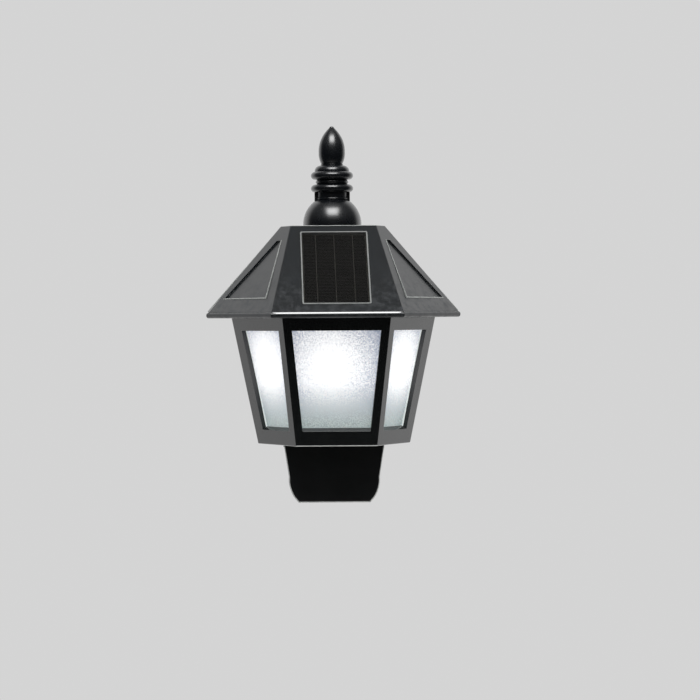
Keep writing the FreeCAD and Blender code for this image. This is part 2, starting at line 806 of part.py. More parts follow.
def cover_screw_hole(x, z):
    return small_round(cover_screw_r, V(x, 0, z), V(x, cover_out_y - cover_screw_l - seat, z))


def cover_outline(y):
    """Outline of the back cover inside the walls of the body and the roof."""
    inset = cover_seat + fit
    low_z = floor_z + floor_t - 1.0 + fit
    high_z = roof_top_z - roof_top_t + 1.0 - fit
    step_z = body_top_z + fit
    side = [V(body_halves(low_z)[0] - inset, y, low_z),
            V(body_halves(body_top_z)[0] - inset, y, step_z),
            V(roof_halves(eaves_top_z)[0] - inset, y, step_z),
            V(roof_halves(eaves_top_z)[0] - inset, y, eaves_top_z),
            V(roof_halves(high_z)[0] - inset, y, high_z)]
    return side + [V(-p.x, y, p.z) for p in reversed(side)]


def bay_box(grow, y_out):
    """Inside of the battery bay, grown by the wall."""
    length = cell_l + cell_nub_l + spring_l + 2 * contact_t
    high = bay_z + 2 * cell_r + bay_spare
    return box(bay_x - grow, bay_x + length + grow, cover_in_y - bay_depth - grow, y_out,
               bay_z - grow, high + grow)


def hook_slot(x, stem_z):
    half = hook_w / 2 + move_gap
    return box(x - half, x + half, cover_in_y - 1, cover_out_y + 1,
               stem_z + move_gap - slot_h, stem_z + move_gap)


def hook_pocket(x, stem_z, grow):
    half = hook_w / 2 + move_gap + grow
    return box(x - half, x + half, pocket_y + pocket_wall - grow, cover_in_y + 0.5 * grow,
               stem_z + move_gap - slot_h - grow, stem_z + hook_prong_h + move_gap + grow)


def hinge_axis():
    high = bay_z + 2 * cell_r + bay_spare
    return cover_out_y + 0.7, high + door_lap + knuckle_r + 0.4


def door_span():
    length = cell_l + cell_nub_l + spring_l + 2 * contact_t
    return bay_x - door_lap, bay_x + length + door_lap


def make_back_cover():
    """Rear closure with the hook pockets, the battery bay, the switch window and the hinge lugs."""
    plate = Part.Face(polygon(cover_outline(cover_in_y))).extrude(V(0, cover_t, 0))
    solid = plate
    hooks = [(0, upper_hook_z), (lower_hook_x, lower_hook_z), (-lower_hook_x, lower_hook_z)]
    for x, z in hooks:
        solid = solid.fuse(hook_pocket(x, z, pocket_wall))
    solid = solid.fuse(bay_box(bay_wall, cover_in_y + 0.5))
    for x, z in reflector_posts():
        solid = solid.fuse(small_round(2.6, V(x, cover_in_y + 0.5, z), V(x, reflector_y + seat, z)))
        solid = solid.fuse(small_round(1.4, V(x, cover_in_y, z), V(x, reflector_y - 2.0, z)))
    frame = box(switch_x - switch_w / 2 - 1.6, switch_x + switch_w / 2 + 1.6,
                cover_in_y - 3.0, cover_in_y + 0.5, switch_z - switch_h / 2 - 1.6,
                switch_z + switch_h / 2 + 1.6)
    inside = box(switch_x - switch_w / 2 - seat, switch_x + switch_w / 2 + seat,
                 cover_in_y - 4.0, cover_in_y, switch_z - switch_h / 2 - seat,
                 switch_z + switch_h / 2 + seat)
    solid = solid.fuse(frame).cut(inside)
    for x, z in hooks:
        solid = solid.cut(hook_slot(x, z)).cut(hook_pocket(x, z, 0.0))
    solid = solid.cut(bay_box(0.0, 1.0))
    half = (knob_w + switch_travel) / 2 + move_gap
    solid = solid.cut(box(switch_x - half, switch_x + half, cover_in_y - 1, 0,
                          switch_z - knob_h / 2 - move_gap, switch_z + knob_h / 2 + move_gap))
    y_pin, z_pin = hinge_axis()
    x0, x1 = door_span()
    for x in (x0 + lug_w, x1 - 2 * lug_w):
        lug = box(x, x + lug_w, cover_in_y + 0.5, y_pin, z_pin - knuckle_r, z_pin + knuckle_r)
        lug = lug.fuse(cylinder(knuckle_r, V(x, y_pin, z_pin), V(x + lug_w, y_pin, z_pin)))
        solid = solid.fuse(lug)
    gap_r = knuckle_r + move_gap
    knuckle_0, knuckle_1 = x0 + 2 * lug_w, x1 - 2 * lug_w
    solid = solid.cut(cylinder(gap_r, V(knuckle_0, y_pin, z_pin), V(knuckle_1, y_pin, z_pin)))
    solid = solid.cut(cylinder(pin_r + seat * 0.4, V(x0, y_pin, z_pin), V(x1, y_pin, z_pin)))
    for x, z in cover_boss_places(True) + cover_boss_places(False):
        solid = solid.cut(small_round(cover_screw_r + 0.3, V(x, 0, z), V(x, cover_in_y - 1, z)))
    lead_hole = V(bay_x + 8.0, cover_in_y - bay_depth + 1.0, bay_z + cell_r)
    solid = solid.cut(small_round(1.8, lead_hole, lead_hole - V(0, 4, 0)))
    return whole(solid)


def make_cover_screws():
    places = cover_boss_places(True) + cover_boss_places(False)
    return Part.Compound([screw(V(x, cover_out_y, z), V(0, -1, 0), cover_screw_r - seat,
                                cover_screw_l, 2.8, 1.8) for x, z in places])


# ---------------------------------------------------------------- battery and door

def cell_axis():
    return cover_in_y - bay_depth + cell_r + 0.1, bay_z + cell_r + 0.1


def make_battery_cell():
    y, z = cell_axis()
    x0 = bay_x + contact_t + spring_l
    body = cylinder(cell_r, V(x0, y, z), V(x0 + cell_l, y, z))
    nub = cylinder(cell_nub_r, V(x0 + cell_l - 1, y, z), V(x0 + cell_l + cell_nub_l, y, z))
    return whole(body.fuse(nub))


def make_battery_contact():
    """Plain plate at the positive end."""
    y, z = cell_axis()
    x = bay_x + contact_t + spring_l + cell_l + cell_nub_l
    plate = box(x, x + contact_t, y - 4.0, y + 4.0, bay_z + 0.1, z + 4.0)
    return plate


def make_battery_spring():
    """Conical coil at the negative end, wound from one wire, with its plate."""
    y, z = cell_axis()
    wire_r, turns, big_r, small_r = 0.3, 2, 3.6, 2.2
    length = spring_l - 2 * wire_r
    narrowing = math.degrees(math.atan((small_r - big_r) / length))
    path = Part.makeHelix(length / turns, length, big_r, narrowing)
    turned = FreeCAD.Rotation(V(0, 0, 1), V(1, 0, 0))
    path.Placement = FreeCAD.Placement(V(bay_x + contact_t + wire_r, y, z), turned)
    path = Part.Wire(path.Edges)
    first = path.Edges[0]
    start = first.valueAt(first.FirstParameter)
    along = first.tangentAt(first.FirstParameter)
    section = polygon(ring_points(wire_r, start, along, wire_sides))
    coil = path.makePipeShell([section], True, True)
    plate = box(bay_x, bay_x + contact_t, y - 4.4, y + 4.4, bay_z + 0.1, z + 4.4)
    return coil, plate


def make_battery_door():
    """Door over the bay, hinged along its upper edge, with a rim, a knuckle and a finger grip."""
    y_pin, z_pin = hinge_axis()
    x0, x1 = door_span()
    inner_y = cover_out_y + door_off
    z_low, z_high = bay_z - door_lap, z_pin - knuckle_r - 0.2
    panel = box(x0, x1, inner_y, inner_y + door_t, z_low, z_high)
    panel = rounded(panel, 1.2, lambda e: abs(e.tangentAt(e.FirstParameter).y) > 0.99
                    and e.CenterOfMass.z < z_low + 1)
    knuckle_0 = x0 + 2 * lug_w + move_gap
    knuckle_1 = x1 - 2 * lug_w - move_gap
    knuckle = cylinder(knuckle_r, V(knuckle_0, y_pin, z_pin), V(knuckle_1, y_pin, z_pin))
    web = box(knuckle_0, knuckle_1, y_pin + 0.2, inner_y + door_t, z_high - 1, z_pin)
    solid = panel.fuse(web).fuse(knuckle)
    rim = box(x0 + door_lap + 0.5, x1 - door_lap - 0.5, inner_y - 1.4, inner_y + 0.5,
              bay_z + 0.6, z_high - 2.4)
    rim = rim.cut(box(x0 + door_lap + 1.7, x1 - door_lap - 1.7, inner_y - 2, inner_y,
                      bay_z + 1.8, z_high - 3.6))
    solid = solid.fuse(rim)
    grip_x = (x0 + x1) / 2
    for row in range(3):
        z = z_low + 2.2 + 1.8 * row
        solid = solid.fuse(box(grip_x - 7, grip_x + 7, inner_y + door_t - 0.3,
                               inner_y + door_t + 0.7, z, z + 0.8))
    return whole(solid.cut(cylinder(pin_r + pin_clear, V(x0, y_pin, z_pin), V(x1, y_pin, z_pin))))


def make_door_pin():
    y_pin, z_pin = hinge_axis()
    x0, x1 = door_span()
    return cylinder(pin_r, V(x0 + lug_w, y_pin, z_pin), V(x1 - lug_w, y_pin, z_pin))


# ---------------------------------------------------------------- switch

def make_switch_body():
    half_w, half_h = switch_w / 2, switch_h / 2
    front = cover_in_y - seat
    case = box(switch_x - half_w, switch_x + half_w, front - switch_d, front,
               switch_z - half_h, switch_z + half_h)
    slot = box(switch_x - 4.4, switch_x + 4.4, front - 2.6, front + 1, switch_z - 2.0, switch_z + 2.0)
    case = case.cut(slot)
    for x in (-4.0, 0.0, 4.0):
        case = case.fuse(box(switch_x + x - 0.5, switch_x + x + 0.5, front - switch_d - 3.0,
                             front - switch_d + 0.5, switch_z - 0.3, switch_z + 0.3))
    return whole(case)


def make_switch_slider():
    """Slider at one end of its travel, with ribs for a fingernail."""
    x = switch_x - switch_travel / 2
    floor_y = cover_in_y - seat - 2.6 + 0.1
    base = box(x - 2.9, x + 2.9, floor_y, cover_in_y - seat - 0.5, switch_z - 1.8, switch_z + 1.8)
    top = cover_out_y + knob_proud
    knob = box(x - knob_w / 2, x + knob_w / 2, floor_y, top, switch_z - knob_h / 2 + 0.2,
               switch_z + knob_h / 2 - 0.2)
    for shift in (-0.8, 0.2):
        knob = knob.cut(box(x + shift, x + shift + 0.6, top - 0.5, top + 1, switch_z - 3, switch_z + 3))
    return whole(base.fuse(knob))


# ---------------------------------------------------------------- tray and electronics

def make_roof_tray():
    """Partition that closes the roof from below and carries the electronics."""
    back_y = cover_in_y - fit
    outline = half_hexagon(*roof_halves(eaves_top_z), body_top_z + seat, roof_wall + fit, back_y)
    solid = Part.Face(polygon(outline)).extrude(V(0, 0, tray_t))
    for place in roof_boss_places():
        low = place + V(0, 0, body_top_z - 1)
        solid = solid.cut(small_round(tray_screw_r + 0.2, low, low + V(0, 0, tray_t + 3)))
        solid = solid.cut(small_round(screw_head_r + 0.3, low, low + V(0, 0, 1 + screw_head_h)))
    for place in body_bosses():
        for x in (-place.x, place.x):
            low = V(x, place.y, body_top_z - 1)
            solid = solid.cut(small_round(tray_screw_r + 0.2, low, low + V(0, 0, tray_t + 3)))
            top = V(x, place.y, tray_top_z + 1)
            solid = solid.cut(small_round(screw_head_r + 0.3, top, top - V(0, 0, 1 + screw_head_h)))
    for index, (x, y) in enumerate(board_corners()):
        solid = solid.fuse(small_round(2.4, V(x, y, tray_top_z - 0.5), V(x, y, tray_top_z + post_h)))
        if index in pegged_corners:
            solid = solid.fuse(small_round(1.1, V(x, y, tray_top_z),
                                        V(x, y, tray_top_z + post_h + board_t + 1.0)))
    hole = V(0, lamp_lead_y, body_top_z - 1)
    solid = solid.cut(small_round(2.4, hole, hole + V(0, 0, 5)))
    for x, z in cover_boss_places(False) + cover_boss_places(True):
        solid = solid.cut(small_round(boss_r + fit, V(x, 0, z), V(x, cover_in_y - cover_boss_l - fit, z)))
    return whole(solid)


def board_corners():
    x, y = board_w / 2 - 3.0, board_d / 2 - 3.0
    return [(board_x + i * x, board_y + j * y) for i in (-1, 1) for j in (-1, 1)]


def board_face():
    return tray_top_z + post_h + seat + board_t


def make_control_board():
    top = board_face()
    board = box(board_x - board_w / 2, board_x + board_w / 2, board_y - board_d / 2,
                board_y + board_d / 2, top - board_t, top)
    board = rounded(board, 1.5, lambda e: abs(e.tangentAt(e.FirstParameter).z) > 0.99)
    for x, y in [board_corners()[i] for i in pegged_corners]:
        board = board.cut(small_round(1.2, V(x, y, top - board_t - 1), V(x, y, top + 1)))
    return board


def make_driver_chip():
    top = board_face()
    x, y = board_x + 9.0, board_y
    half = chip_w / 2
    chip = box(x - half, x + half, y - half, y + half, top + 0.3, top + 0.3 + chip_h)
    for side in (-1, 1):
        for row in range(4):
            leg_y = y - 1.95 + row * 1.3
            foot = sorted((x + side * (half - 0.3), x + side * (half + 1.1)))
            chip = chip.fuse(box(foot[0], foot[1], leg_y - 0.2, leg_y + 0.2, top, top + 0.7))
    return whole(chip)


def make_inductor():
    """Ferrite drum with a winding of square section between its flanges."""
    low = V(board_x - 8.0, board_y, board_face())
    up = V(0, 0, 1)
    drum = small_round(coil_r, low, low + up * coil_h)
    waist = small_round(coil_r + 1, low + up * 1.0, low + up * (coil_h - 1.0))
    waist = waist.cut(small_round(coil_r - 0.6, low, low + up * coil_h))
    return whole(drum.cut(waist))


def make_tray_screws():
    """Four screws up into the roof and four down into the body."""
    screws = []
    for place in roof_boss_places():
        base = place + V(0, 0, body_top_z + screw_head_h)
        screws.append(screw(base, V(0, 0, 1), tray_screw_r - seat, tray_screw_l,
                            screw_head_r, screw_head_h - seat))
    for place in body_bosses():
        for x in (-place.x, place.x):
            base = V(x, place.y, tray_top_z - screw_head_h)
            screws.append(screw(base, V(0, 0, -1), tray_screw_r - seat, tray_screw_l - 1.0,
                                screw_head_r, screw_head_h - seat))
    return Part.Compound(screws)


# ---------------------------------------------------------------- reflector and lamp

def reflector_posts():
    """Posts of the back cover that carry the reflector, as x and z."""
    z_low, z_high = floor_z + floor_t + reflector_post_in, body_top_z - reflector_post_in
    places = []
    for z in (z_low, z_high):
        x = body_halves(z)[0] - reflector_margin - reflector_flare - 5.0
        if z < 0:
            x = min(x, lower_hook_x - hook_w / 2 - pocket_wall - 4.0)
        places += [(x, z), (-x, z)]
    return places


def reflector_outline(y, flare):
    low_z = floor_z + floor_t + reflector_edge_in - flare
    high_z = body_top_z - reflector_edge_in + flare
    low = body_halves(low_z)[0] - reflector_margin - reflector_flare + flare
    high = body_halves(high_z)[0] - reflector_margin - reflector_flare + flare
    return [V(-low, y, low_z), V(low, y, low_z), V(high, y, high_z), V(-high, y, high_z)]


def make_reflector():
    """White dish behind the lamp."""
    dish = taper(reflector_outline(reflector_y, 0), reflector_outline(reflector_y - reflector_depth,
                                                                reflector_flare))
    inner = taper(reflector_outline(reflector_y - reflector_t, -reflector_t),
                  reflector_outline(reflector_y - reflector_depth - reflector_t,
                                 reflector_flare - reflector_t))
    dish = dish.cut(inner)
    for x, z in reflector_posts():
        dish = dish.cut(small_round(1.5, V(x, 0, z), V(x, reflector_y - 5.0, z)))
    hole = V(0, 0, led_z + 4.5)
    return dish.cut(small_round(1.8, hole, hole + V(0, reflector_y - 5.0, 0)))


def make_led_board():
    back = reflector_y - reflector_t - seat
    return small_round(led_board_r, V(0, back, led_z), V(0, back - led_board_t, led_z))


def make_led():
    """Round lamp with a flange and a lens that narrows to its tip."""
    back = reflector_y - reflector_t - seat - led_board_t - seat
    flange = small_round(led_r + 0.4, V(0, back, led_z), V(0, back - 0.9, led_z))
    tip = V(0, back - led_l, led_z)
    barrel = small_round(led_r, V(0, back, led_z), tip)
    rim = [edge for edge in barrel.Edges if abs(edge.CenterOfMass.y - tip.y) < seat]
    return whole(flange.fuse(barrel.makeChamfer(led_r * 0.35, rim)))


# ---------------------------------------------------------------- leads

def make_panel_leads():
    """From the back of the solar panel down to the control board."""
    start = roof_front.point(-lead_r, panel_low + 12.0, gasket_t - panel_depth - 0.1)
    out = start - roof_front.w * 7.0
    end = V(board_x + 15.4, board_y - 4.0, board_face() + lead_r)
    over = V(end.x, end.y, end.z + 6.0)
    return twin_lead([start, out, V(over.x + 8, out.y + 6, over.z + 3), over, end], lead_pitch)


def make_battery_leads():
    """From the back of the bay to the control board."""
    y, z = cover_in_y - bay_depth - bay_wall, bay_z + cell_r
    start = V(bay_x + 8.2, y + 0.5 * bay_wall, z)
    end = V(board_x + 15.4, board_y + 3.0, board_face() + lead_r)
    return twin_lead([start, V(start.x, y - 5, z), V(end.x + 9, end.y, end.z + 6),
                      V(end.x, end.y, end.z + 6), end], lead_pitch)


def make_led_leads():
    """From the control board down through the tray to the lamp's board."""
    start = V(board_x + 10.0, board_y + 8.0, board_face() + seat)
    over = V(0, lamp_lead_y, start.z + 5)
    low = V(0, lamp_lead_y, led_z + 4.5)
    square = V(0, 0, 1).cross(V(over.x - start.x, over.y - start.y, 0)).normalize()
    spread = square * (2 * square.dot(lead_pitch)) - lead_pitch
    points = [start, V(start.x, start.y, over.z), over, low, V(0, reflector_y - reflector_t, low.z)]
    return twin_lead(points, spread)


# ---------------------------------------------------------------- all pieces

def make_parts():
    right_pane = make_right_pane()
    coil, spring_plate = make_battery_spring()
    return {
        "wall_bracket": make_wall_bracket(),
        "roof": make_roof(),
        "finial": make_finial(),
        "finial_screw": make_finial_screw(),
        "panel_gasket": make_panel_gasket(),
        "panel_board": make_panel_board(),
        "solar_cells": make_solar_cells(),
        "panel_cover": make_panel_cover(),
        "lantern_body": make_lantern_body(),
        "front_pane": make_front_pane(),
        "right_pane": right_pane,
        "left_pane": mirrored(right_pane),
        "back_cover": make_back_cover(),
        "cover_screws": make_cover_screws(),
        "battery_cell": make_battery_cell(),
        "battery_contact": make_battery_contact(),
        "battery_spring": coil,
        "spring_plate": spring_plate,
        "battery_door": make_battery_door(),
        "door_pin": make_door_pin(),
        "switch_body": make_switch_body(),
        "switch_slider": make_switch_slider(),
        "roof_tray": make_roof_tray(),
        "tray_screws": make_tray_screws(),
        "control_board": make_control_board(),
        "driver_chip": make_driver_chip(),
        "inductor": make_inductor(),
        "reflector": make_reflector(),
        "led_board": make_led_board(),
        "led": make_led(),
        "panel_leads": make_panel_leads(),
        "battery_leads": make_battery_leads(),
        "led_leads": make_led_leads(),
    }


os.makedirs("parts", exist_ok=True)
for name, shape in make_parts().items():
    shape.exportStep("parts/" + name + ".step")
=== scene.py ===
import math

import bmesh
import bpy
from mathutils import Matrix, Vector, noise


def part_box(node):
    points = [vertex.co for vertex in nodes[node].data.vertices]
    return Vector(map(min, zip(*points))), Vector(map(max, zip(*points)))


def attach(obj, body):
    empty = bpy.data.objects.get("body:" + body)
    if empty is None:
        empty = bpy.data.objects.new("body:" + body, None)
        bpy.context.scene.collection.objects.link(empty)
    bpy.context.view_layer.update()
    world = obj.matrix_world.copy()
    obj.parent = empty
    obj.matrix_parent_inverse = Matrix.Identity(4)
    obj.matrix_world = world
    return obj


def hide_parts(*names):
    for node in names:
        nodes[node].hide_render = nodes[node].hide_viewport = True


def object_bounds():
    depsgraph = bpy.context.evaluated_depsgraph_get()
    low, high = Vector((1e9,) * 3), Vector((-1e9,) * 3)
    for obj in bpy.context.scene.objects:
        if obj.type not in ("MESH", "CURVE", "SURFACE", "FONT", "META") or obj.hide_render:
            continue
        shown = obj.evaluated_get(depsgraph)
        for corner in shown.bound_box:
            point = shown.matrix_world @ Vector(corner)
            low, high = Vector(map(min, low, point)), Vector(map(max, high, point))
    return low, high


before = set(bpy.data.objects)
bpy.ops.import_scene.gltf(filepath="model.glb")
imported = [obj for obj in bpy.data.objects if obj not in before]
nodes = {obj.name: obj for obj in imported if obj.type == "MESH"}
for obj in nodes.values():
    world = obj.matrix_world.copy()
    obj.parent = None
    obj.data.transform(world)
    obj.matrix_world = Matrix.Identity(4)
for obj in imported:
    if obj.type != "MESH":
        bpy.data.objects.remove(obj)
cad_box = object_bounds()
MM = 0.001

# ---------------------------------------------------------------- sizes, in mm
# Heights are counted from the frame's origin, on the wall half way between the two wall screws.

wall_gap = 0.3                  # lantern to wall
move_gap = 0.3                  # between pieces on different bodies
bracket_t = 3.0                 # the bracket's plate
tongue_half = 11.7              # its tongue, which stands in the finial's groove
tongue_h = 25.5                 # above the roof

finial_foot = 82.9              # on the roof's top
finial_top = 150.05
dome_r = 19.4
dome_rise = 1.5
neck_r = 10.35
ring_bulge = 3.05
bud_r = 8.8
bud_wide = 131.6                # height of the widest place
bud_drop = 11.8                 # ellipse below it
bud_power = 2.45                # how full the upper part is
bud_foot = 124.7
bud_step = 0.7                  # between the points below the widest place
bud_steps = 34                  # points above it,
bud_bias = 0.8                  # which crowd a little towards the tip
tip_r = 1.1
tip_rise = 0.72                 # height of the tip's dome, for a radius of 1
dome_arc = 56                   # degrees of the dome, up to the neck's collar
foot_gap = 0.15                 # the finial's foot over the roof
neck_levels = (102.3, 103.8, 105.35)
# mouldings of the finial: core radius, foot, bulge, height, first and last degree of the arc, steps
neck_collar = (9.9, 100.6, 0.95, 1.5, -75, 80, 8)
lower_ring = (11.0, 105.5, ring_bulge, 5.4, -88, 88, 18)
middle_collar = (9.3, 111.1, 1.6, 2.7, -75, 75, 10)
upper_ring = (11.0, 113.95, ring_bulge, 5.5, -88, 82, 18)
shoulder = (7.3, 115.7, 4.25, 7.9, 4, 78, 12)
top_collar = (6.7, 123.65, 0.8, 0.8, -60, 80, 6)
turns = 84                      # faces round half of the finial

eaves_top = 26.1
ornament_t = 1.1                # depth of the roof's recessed ornaments
cell_splits = (0.2, 0.5, 0.8)
cell_gap = 0.6
finger_pitch = 1.4
finger_w = 0.12
finger_t = 0.05                 # above the silicon
finger_end = 0.3                # from the strip's edge
bead_half = 42.7
bead_front = 0.03               # behind the front of the solids
bead_depth = 1.5
bead_taper = 0.026              # rounded end, as a share of half the length
bead_z = 24.72                  # foot of its face
bead_curve = 4.4
bead_low = math.radians(15)     # tilt of its face at the foot, upwards
bead_high = math.radians(36)
pane_t = 1.5
pebble = 1.25                   # size of the frosting's dimples
pebble_step = 0.42              # between the points of the pebbled face
pebble_depth = 0.16

painted_highlight_reach = 0.45                # reach of the painted highlight on a sharp corner
recess_bead_r = 0.42            # round edges, painted light grey as highlights
outline_bead_r = 0.34
rim_bead_r = 0.36
window_bead_r = 0.45
edge_inset = 0.3                # of the round edges from the rear
edge_lap = 0.05                 # of the ornaments' round edges into their walls
eaves_rise = 0.7                # foot of the roof's rear edges over the eaves

screw_sides = 28
screw_head_t = 1.4
head_round = 0.9
screw_end_r = 0.9
neck_under_head_r = 1.3
thread_root_r = 1.05
thread_crest_r = 1.32
thread_step = 0.5               # half of the pitch
cross_arm = 1.45
cross_half_t = 0.36
cross_depth = 0.9
cross_taper = 0.7               # the recess's floor against its mouth

# ---------------------------------------------------------------- light levels

backdrop = 0.66
ambient = 0.30
reflected_wall = 1.12
reflected_floor = 0.01
reflected_ceiling = 0.22
softbox = 6.0                   # the large soft light over the camera, as gloss shows it
# where reflections fade in, as parts of a unit direction: Y to the wall, Z up, X across
wall_fade = (0.15, 0.62)
room_fade = (0.05, 0.80)
softbox_foot = (0.56, 0.72)
softbox_head = (0.94, 0.85)
softbox_side = (0.46, 0.24)
softbox_front = (0.0, -0.15)
# area lights: place and target in metres, size in metres, watts
key_light = ((0.03, -1.45, 1.85), (0, 0, 0.06), (1.5, 1.3), 34.0)
side_light = ((2.1, -0.1, 0.7), (0, 0, 0.02), (2.0, 1.6), 20.0)
# glow of the panes: centre and reach in mm
front_glow = ((-3.5, -45.0, -7.5), (47.0, 80.0, 52.0))
side_glow = ((41.0, -29.0, -8.0), (38.0, 43.0, 49.0))
foot_shade = (-20.0, -46.0)     # heights in mm between which the panes turn green grey
floor_below = 0.3               # metres under the tail
floor_half = 0.9
floor_fade = (0.30, 0.80)       # metres from its middle, from solid to clear

# ---------------------------------------------------------------- camera

eye = Vector((-66.0, -1800.0, 25.0)) * MM       # where the photograph was taken from
aim = Vector((11.4, 0.0, 1.29)) * MM            # what its middle shows, at the wall
field = 465.5 * MM                              # width that it shows at the wall
roll = math.radians(0.39)


def make_camera():
    """Level camera that is shifted onto its aim, so that uprights stay upright."""
    data = bpy.data.cameras.new("camera")
    camera = bpy.data.objects.new("camera", data)
    bpy.context.scene.collection.objects.link(camera)
    camera.location = eye
    camera.rotation_euler = (math.radians(90), roll, 0)
    data.sensor_width = 36.0
    data.lens = data.sensor_width * abs(eye.y) / field
    data.shift_x = (aim.x - eye.x) / field
    data.shift_y = (aim.z - eye.z) / field
    data.clip_start = 0.01
    bpy.context.scene.camera = camera


# ---------------------------------------------------------------- materials

class Surface:
    """A Principled material with short calls for its node network."""

    def __init__(self, name):
        self.material = bpy.data.materials.new(name)
        self.material.use_nodes = True
        self.tree = self.material.node_tree
        self.shader = self.tree.nodes["Principled BSDF"]
        self.place = self.node("ShaderNodeTexCoord").outputs["Object"]

    def node(self, kind, **values):
        node = self.tree.nodes.new(kind)
        for key, value in values.items():
            setattr(node, key, value)
        return node

    def link(self, output, socket):
        self.tree.links.new(output, socket)

    def set(self, **values):
        for key, value in values.items():
            self.shader.inputs[key.replace("_", " ")].default_value = value

    def axis(self, name):
        node = self.node("ShaderNodeSeparateXYZ")
        self.link(self.place, node.inputs["Vector"])
        return node.outputs[name]

    def maths(self, operation, first, second):
        node = self.node("ShaderNodeMath", operation=operation)
        for socket, value in zip(node.inputs, (first, second)):
            if isinstance(value, (int, float)):
                socket.default_value = value
            else:
                self.link(value, socket)
        return node.outputs["Value"]

    def mix(self, amount, first, second):
        """Colour between first and second; second may be a plain colour."""
        node = self.node("ShaderNodeMix", data_type="RGBA")
        self.link(amount, node.inputs[0])
        self.link(first, node.inputs[6])
        if isinstance(second, tuple):
            node.inputs[7].default_value = second
        else:
            self.link(second, node.inputs[7])
        return node.outputs[2]

    def noise(self, scale, detail=3.0, roughness=0.5):
        node = self.node("ShaderNodeTexNoise")
        node.inputs["Scale"].default_value = scale
        node.inputs["Detail"].default_value = detail
        node.inputs["Roughness"].default_value = roughness
        self.link(self.place, node.inputs["Vector"])
        return node.outputs["Fac"]

    def ramp(self, value, stops):
        node = self.node("ShaderNodeValToRGB")
        ramp = node.color_ramp
        while len(ramp.elements) < len(stops):
            ramp.elements.new(0.5)
        for element, (position, tint) in zip(ramp.elements, stops):
            element.position = position
            element.color = (*tint, 1.0)
        self.link(value, node.inputs["Fac"])
        return node.outputs["Color"]

    def remap(self, value, start, end, low=0.0, high=1.0, smooth=False):
        """Maps start..end to low..high, and holds it there beyond."""
        node = self.node("ShaderNodeMapRange")
        for name, number in (("From Min", start), ("From Max", end), ("To Min", low), ("To Max", high)):
            node.inputs[name].default_value = number
        if smooth:
            node.interpolation_type = "SMOOTHSTEP"
        self.link(value, node.inputs["Value"])
        return node.outputs["Result"]

    def spread(self, value, low, high):
        """Maps 0..1 to low..high."""
        return self.remap(value, 0.0, 1.0, low, high)

    def bump(self, height, strength, distance, normal=None):
        node = self.node("ShaderNodeBump")
        node.inputs["Strength"].default_value = strength
        node.inputs["Distance"].default_value = distance
        self.link(height, node.inputs["Height"])
        if normal:
            self.link(normal, node.inputs["Normal"])
        return node.outputs["Normal"]

    def soft_edges(self, radius):
        node = self.node("ShaderNodeBevel")
        node.samples = 6
        node.inputs["Radius"].default_value = radius
        return node.outputs["Normal"]

    def sharp_edges(self, radius, amount):
        """Amount along edges that turn by about a right angle, 0 elsewhere."""
        turn = self.node("ShaderNodeVectorMath", operation="DOT_PRODUCT")
        self.link(self.soft_edges(radius), turn.inputs[0])
        self.link(self.node("ShaderNodeNewGeometry").outputs["Normal"], turn.inputs[1])
        start, full = 0.88, 0.76        # cosines of the turn within the radius
        return self.remap(turn.outputs["Value"], start, full, 0.0, amount)


def grey(level):
    """Scene-linear grey of an 8-bit level."""
    value = level / 255
    return ((value + 0.055) / 1.055) ** 2.4 if value > 0.04045 else value / 12.92


def colour(r, g, b):
    """Scene-linear colour of 8-bit levels."""
    return (grey(r), grey(g), grey(b))


painted_edge_highlight = (*colour(196, 199, 196), 1.0)      # painted highlight: light grey for edges that catch the light


def moulded(name, dark, light, rough_low, rough_high, edge=0.3 * MM, grain=0.02, painted_highlight_amount=0.0,
            gloss=0.8, coat=0.0):
    """Moulded plastic: faint flow marks, fine grain, soft edges that may get a painted highlight in light
    grey.
    """
    surface = Surface(name)
    flow = surface.noise(38.0, 4.0, 0.6)
    tint = surface.ramp(flow, [(0.3, dark), (0.7, light)])
    # painted highlight: sharp edges turn light grey
    if painted_highlight_amount:
        tint = surface.mix(surface.sharp_edges(painted_highlight_reach * MM, painted_highlight_amount), tint, painted_edge_highlight)
    surface.link(tint, surface.shader.inputs["Base Color"])
    patches = surface.noise(90.0, 5.0, 0.65)
    surface.link(surface.spread(patches, rough_low, rough_high), surface.shader.inputs["Roughness"])
    fine = surface.noise(2600.0, 2.0)
    normal = surface.bump(fine, grain, 0.1 * MM, surface.soft_edges(edge))
    surface.link(normal, surface.shader.inputs["Normal"])
    surface.set(IOR=1.5, Specular_IOR_Level=gloss, Coat_Weight=coat, Coat_Roughness=rough_low)
    return surface.material


def plate(name, low, high, roughness, scale=60.0, metallic=0.0, grain=0.02):
    """Plain material whose colour and roughness vary a little."""
    surface = Surface(name)
    cloud = surface.noise(scale, 4.0, 0.6)
    surface.link(surface.ramp(cloud, [(0.3, low), (0.7, high)]), surface.shader.inputs["Base Color"])
    wear = surface.noise(scale * 3.1, 5.0, 0.7)
    rough = surface.spread(wear, roughness * 0.8, roughness * 1.25)
    surface.link(rough, surface.shader.inputs["Roughness"])
    fine = surface.noise(1900.0, 2.0)
    surface.link(surface.bump(fine, grain, 0.1 * MM), surface.shader.inputs["Normal"])
    surface.set(Metallic=metallic)
    return surface.material


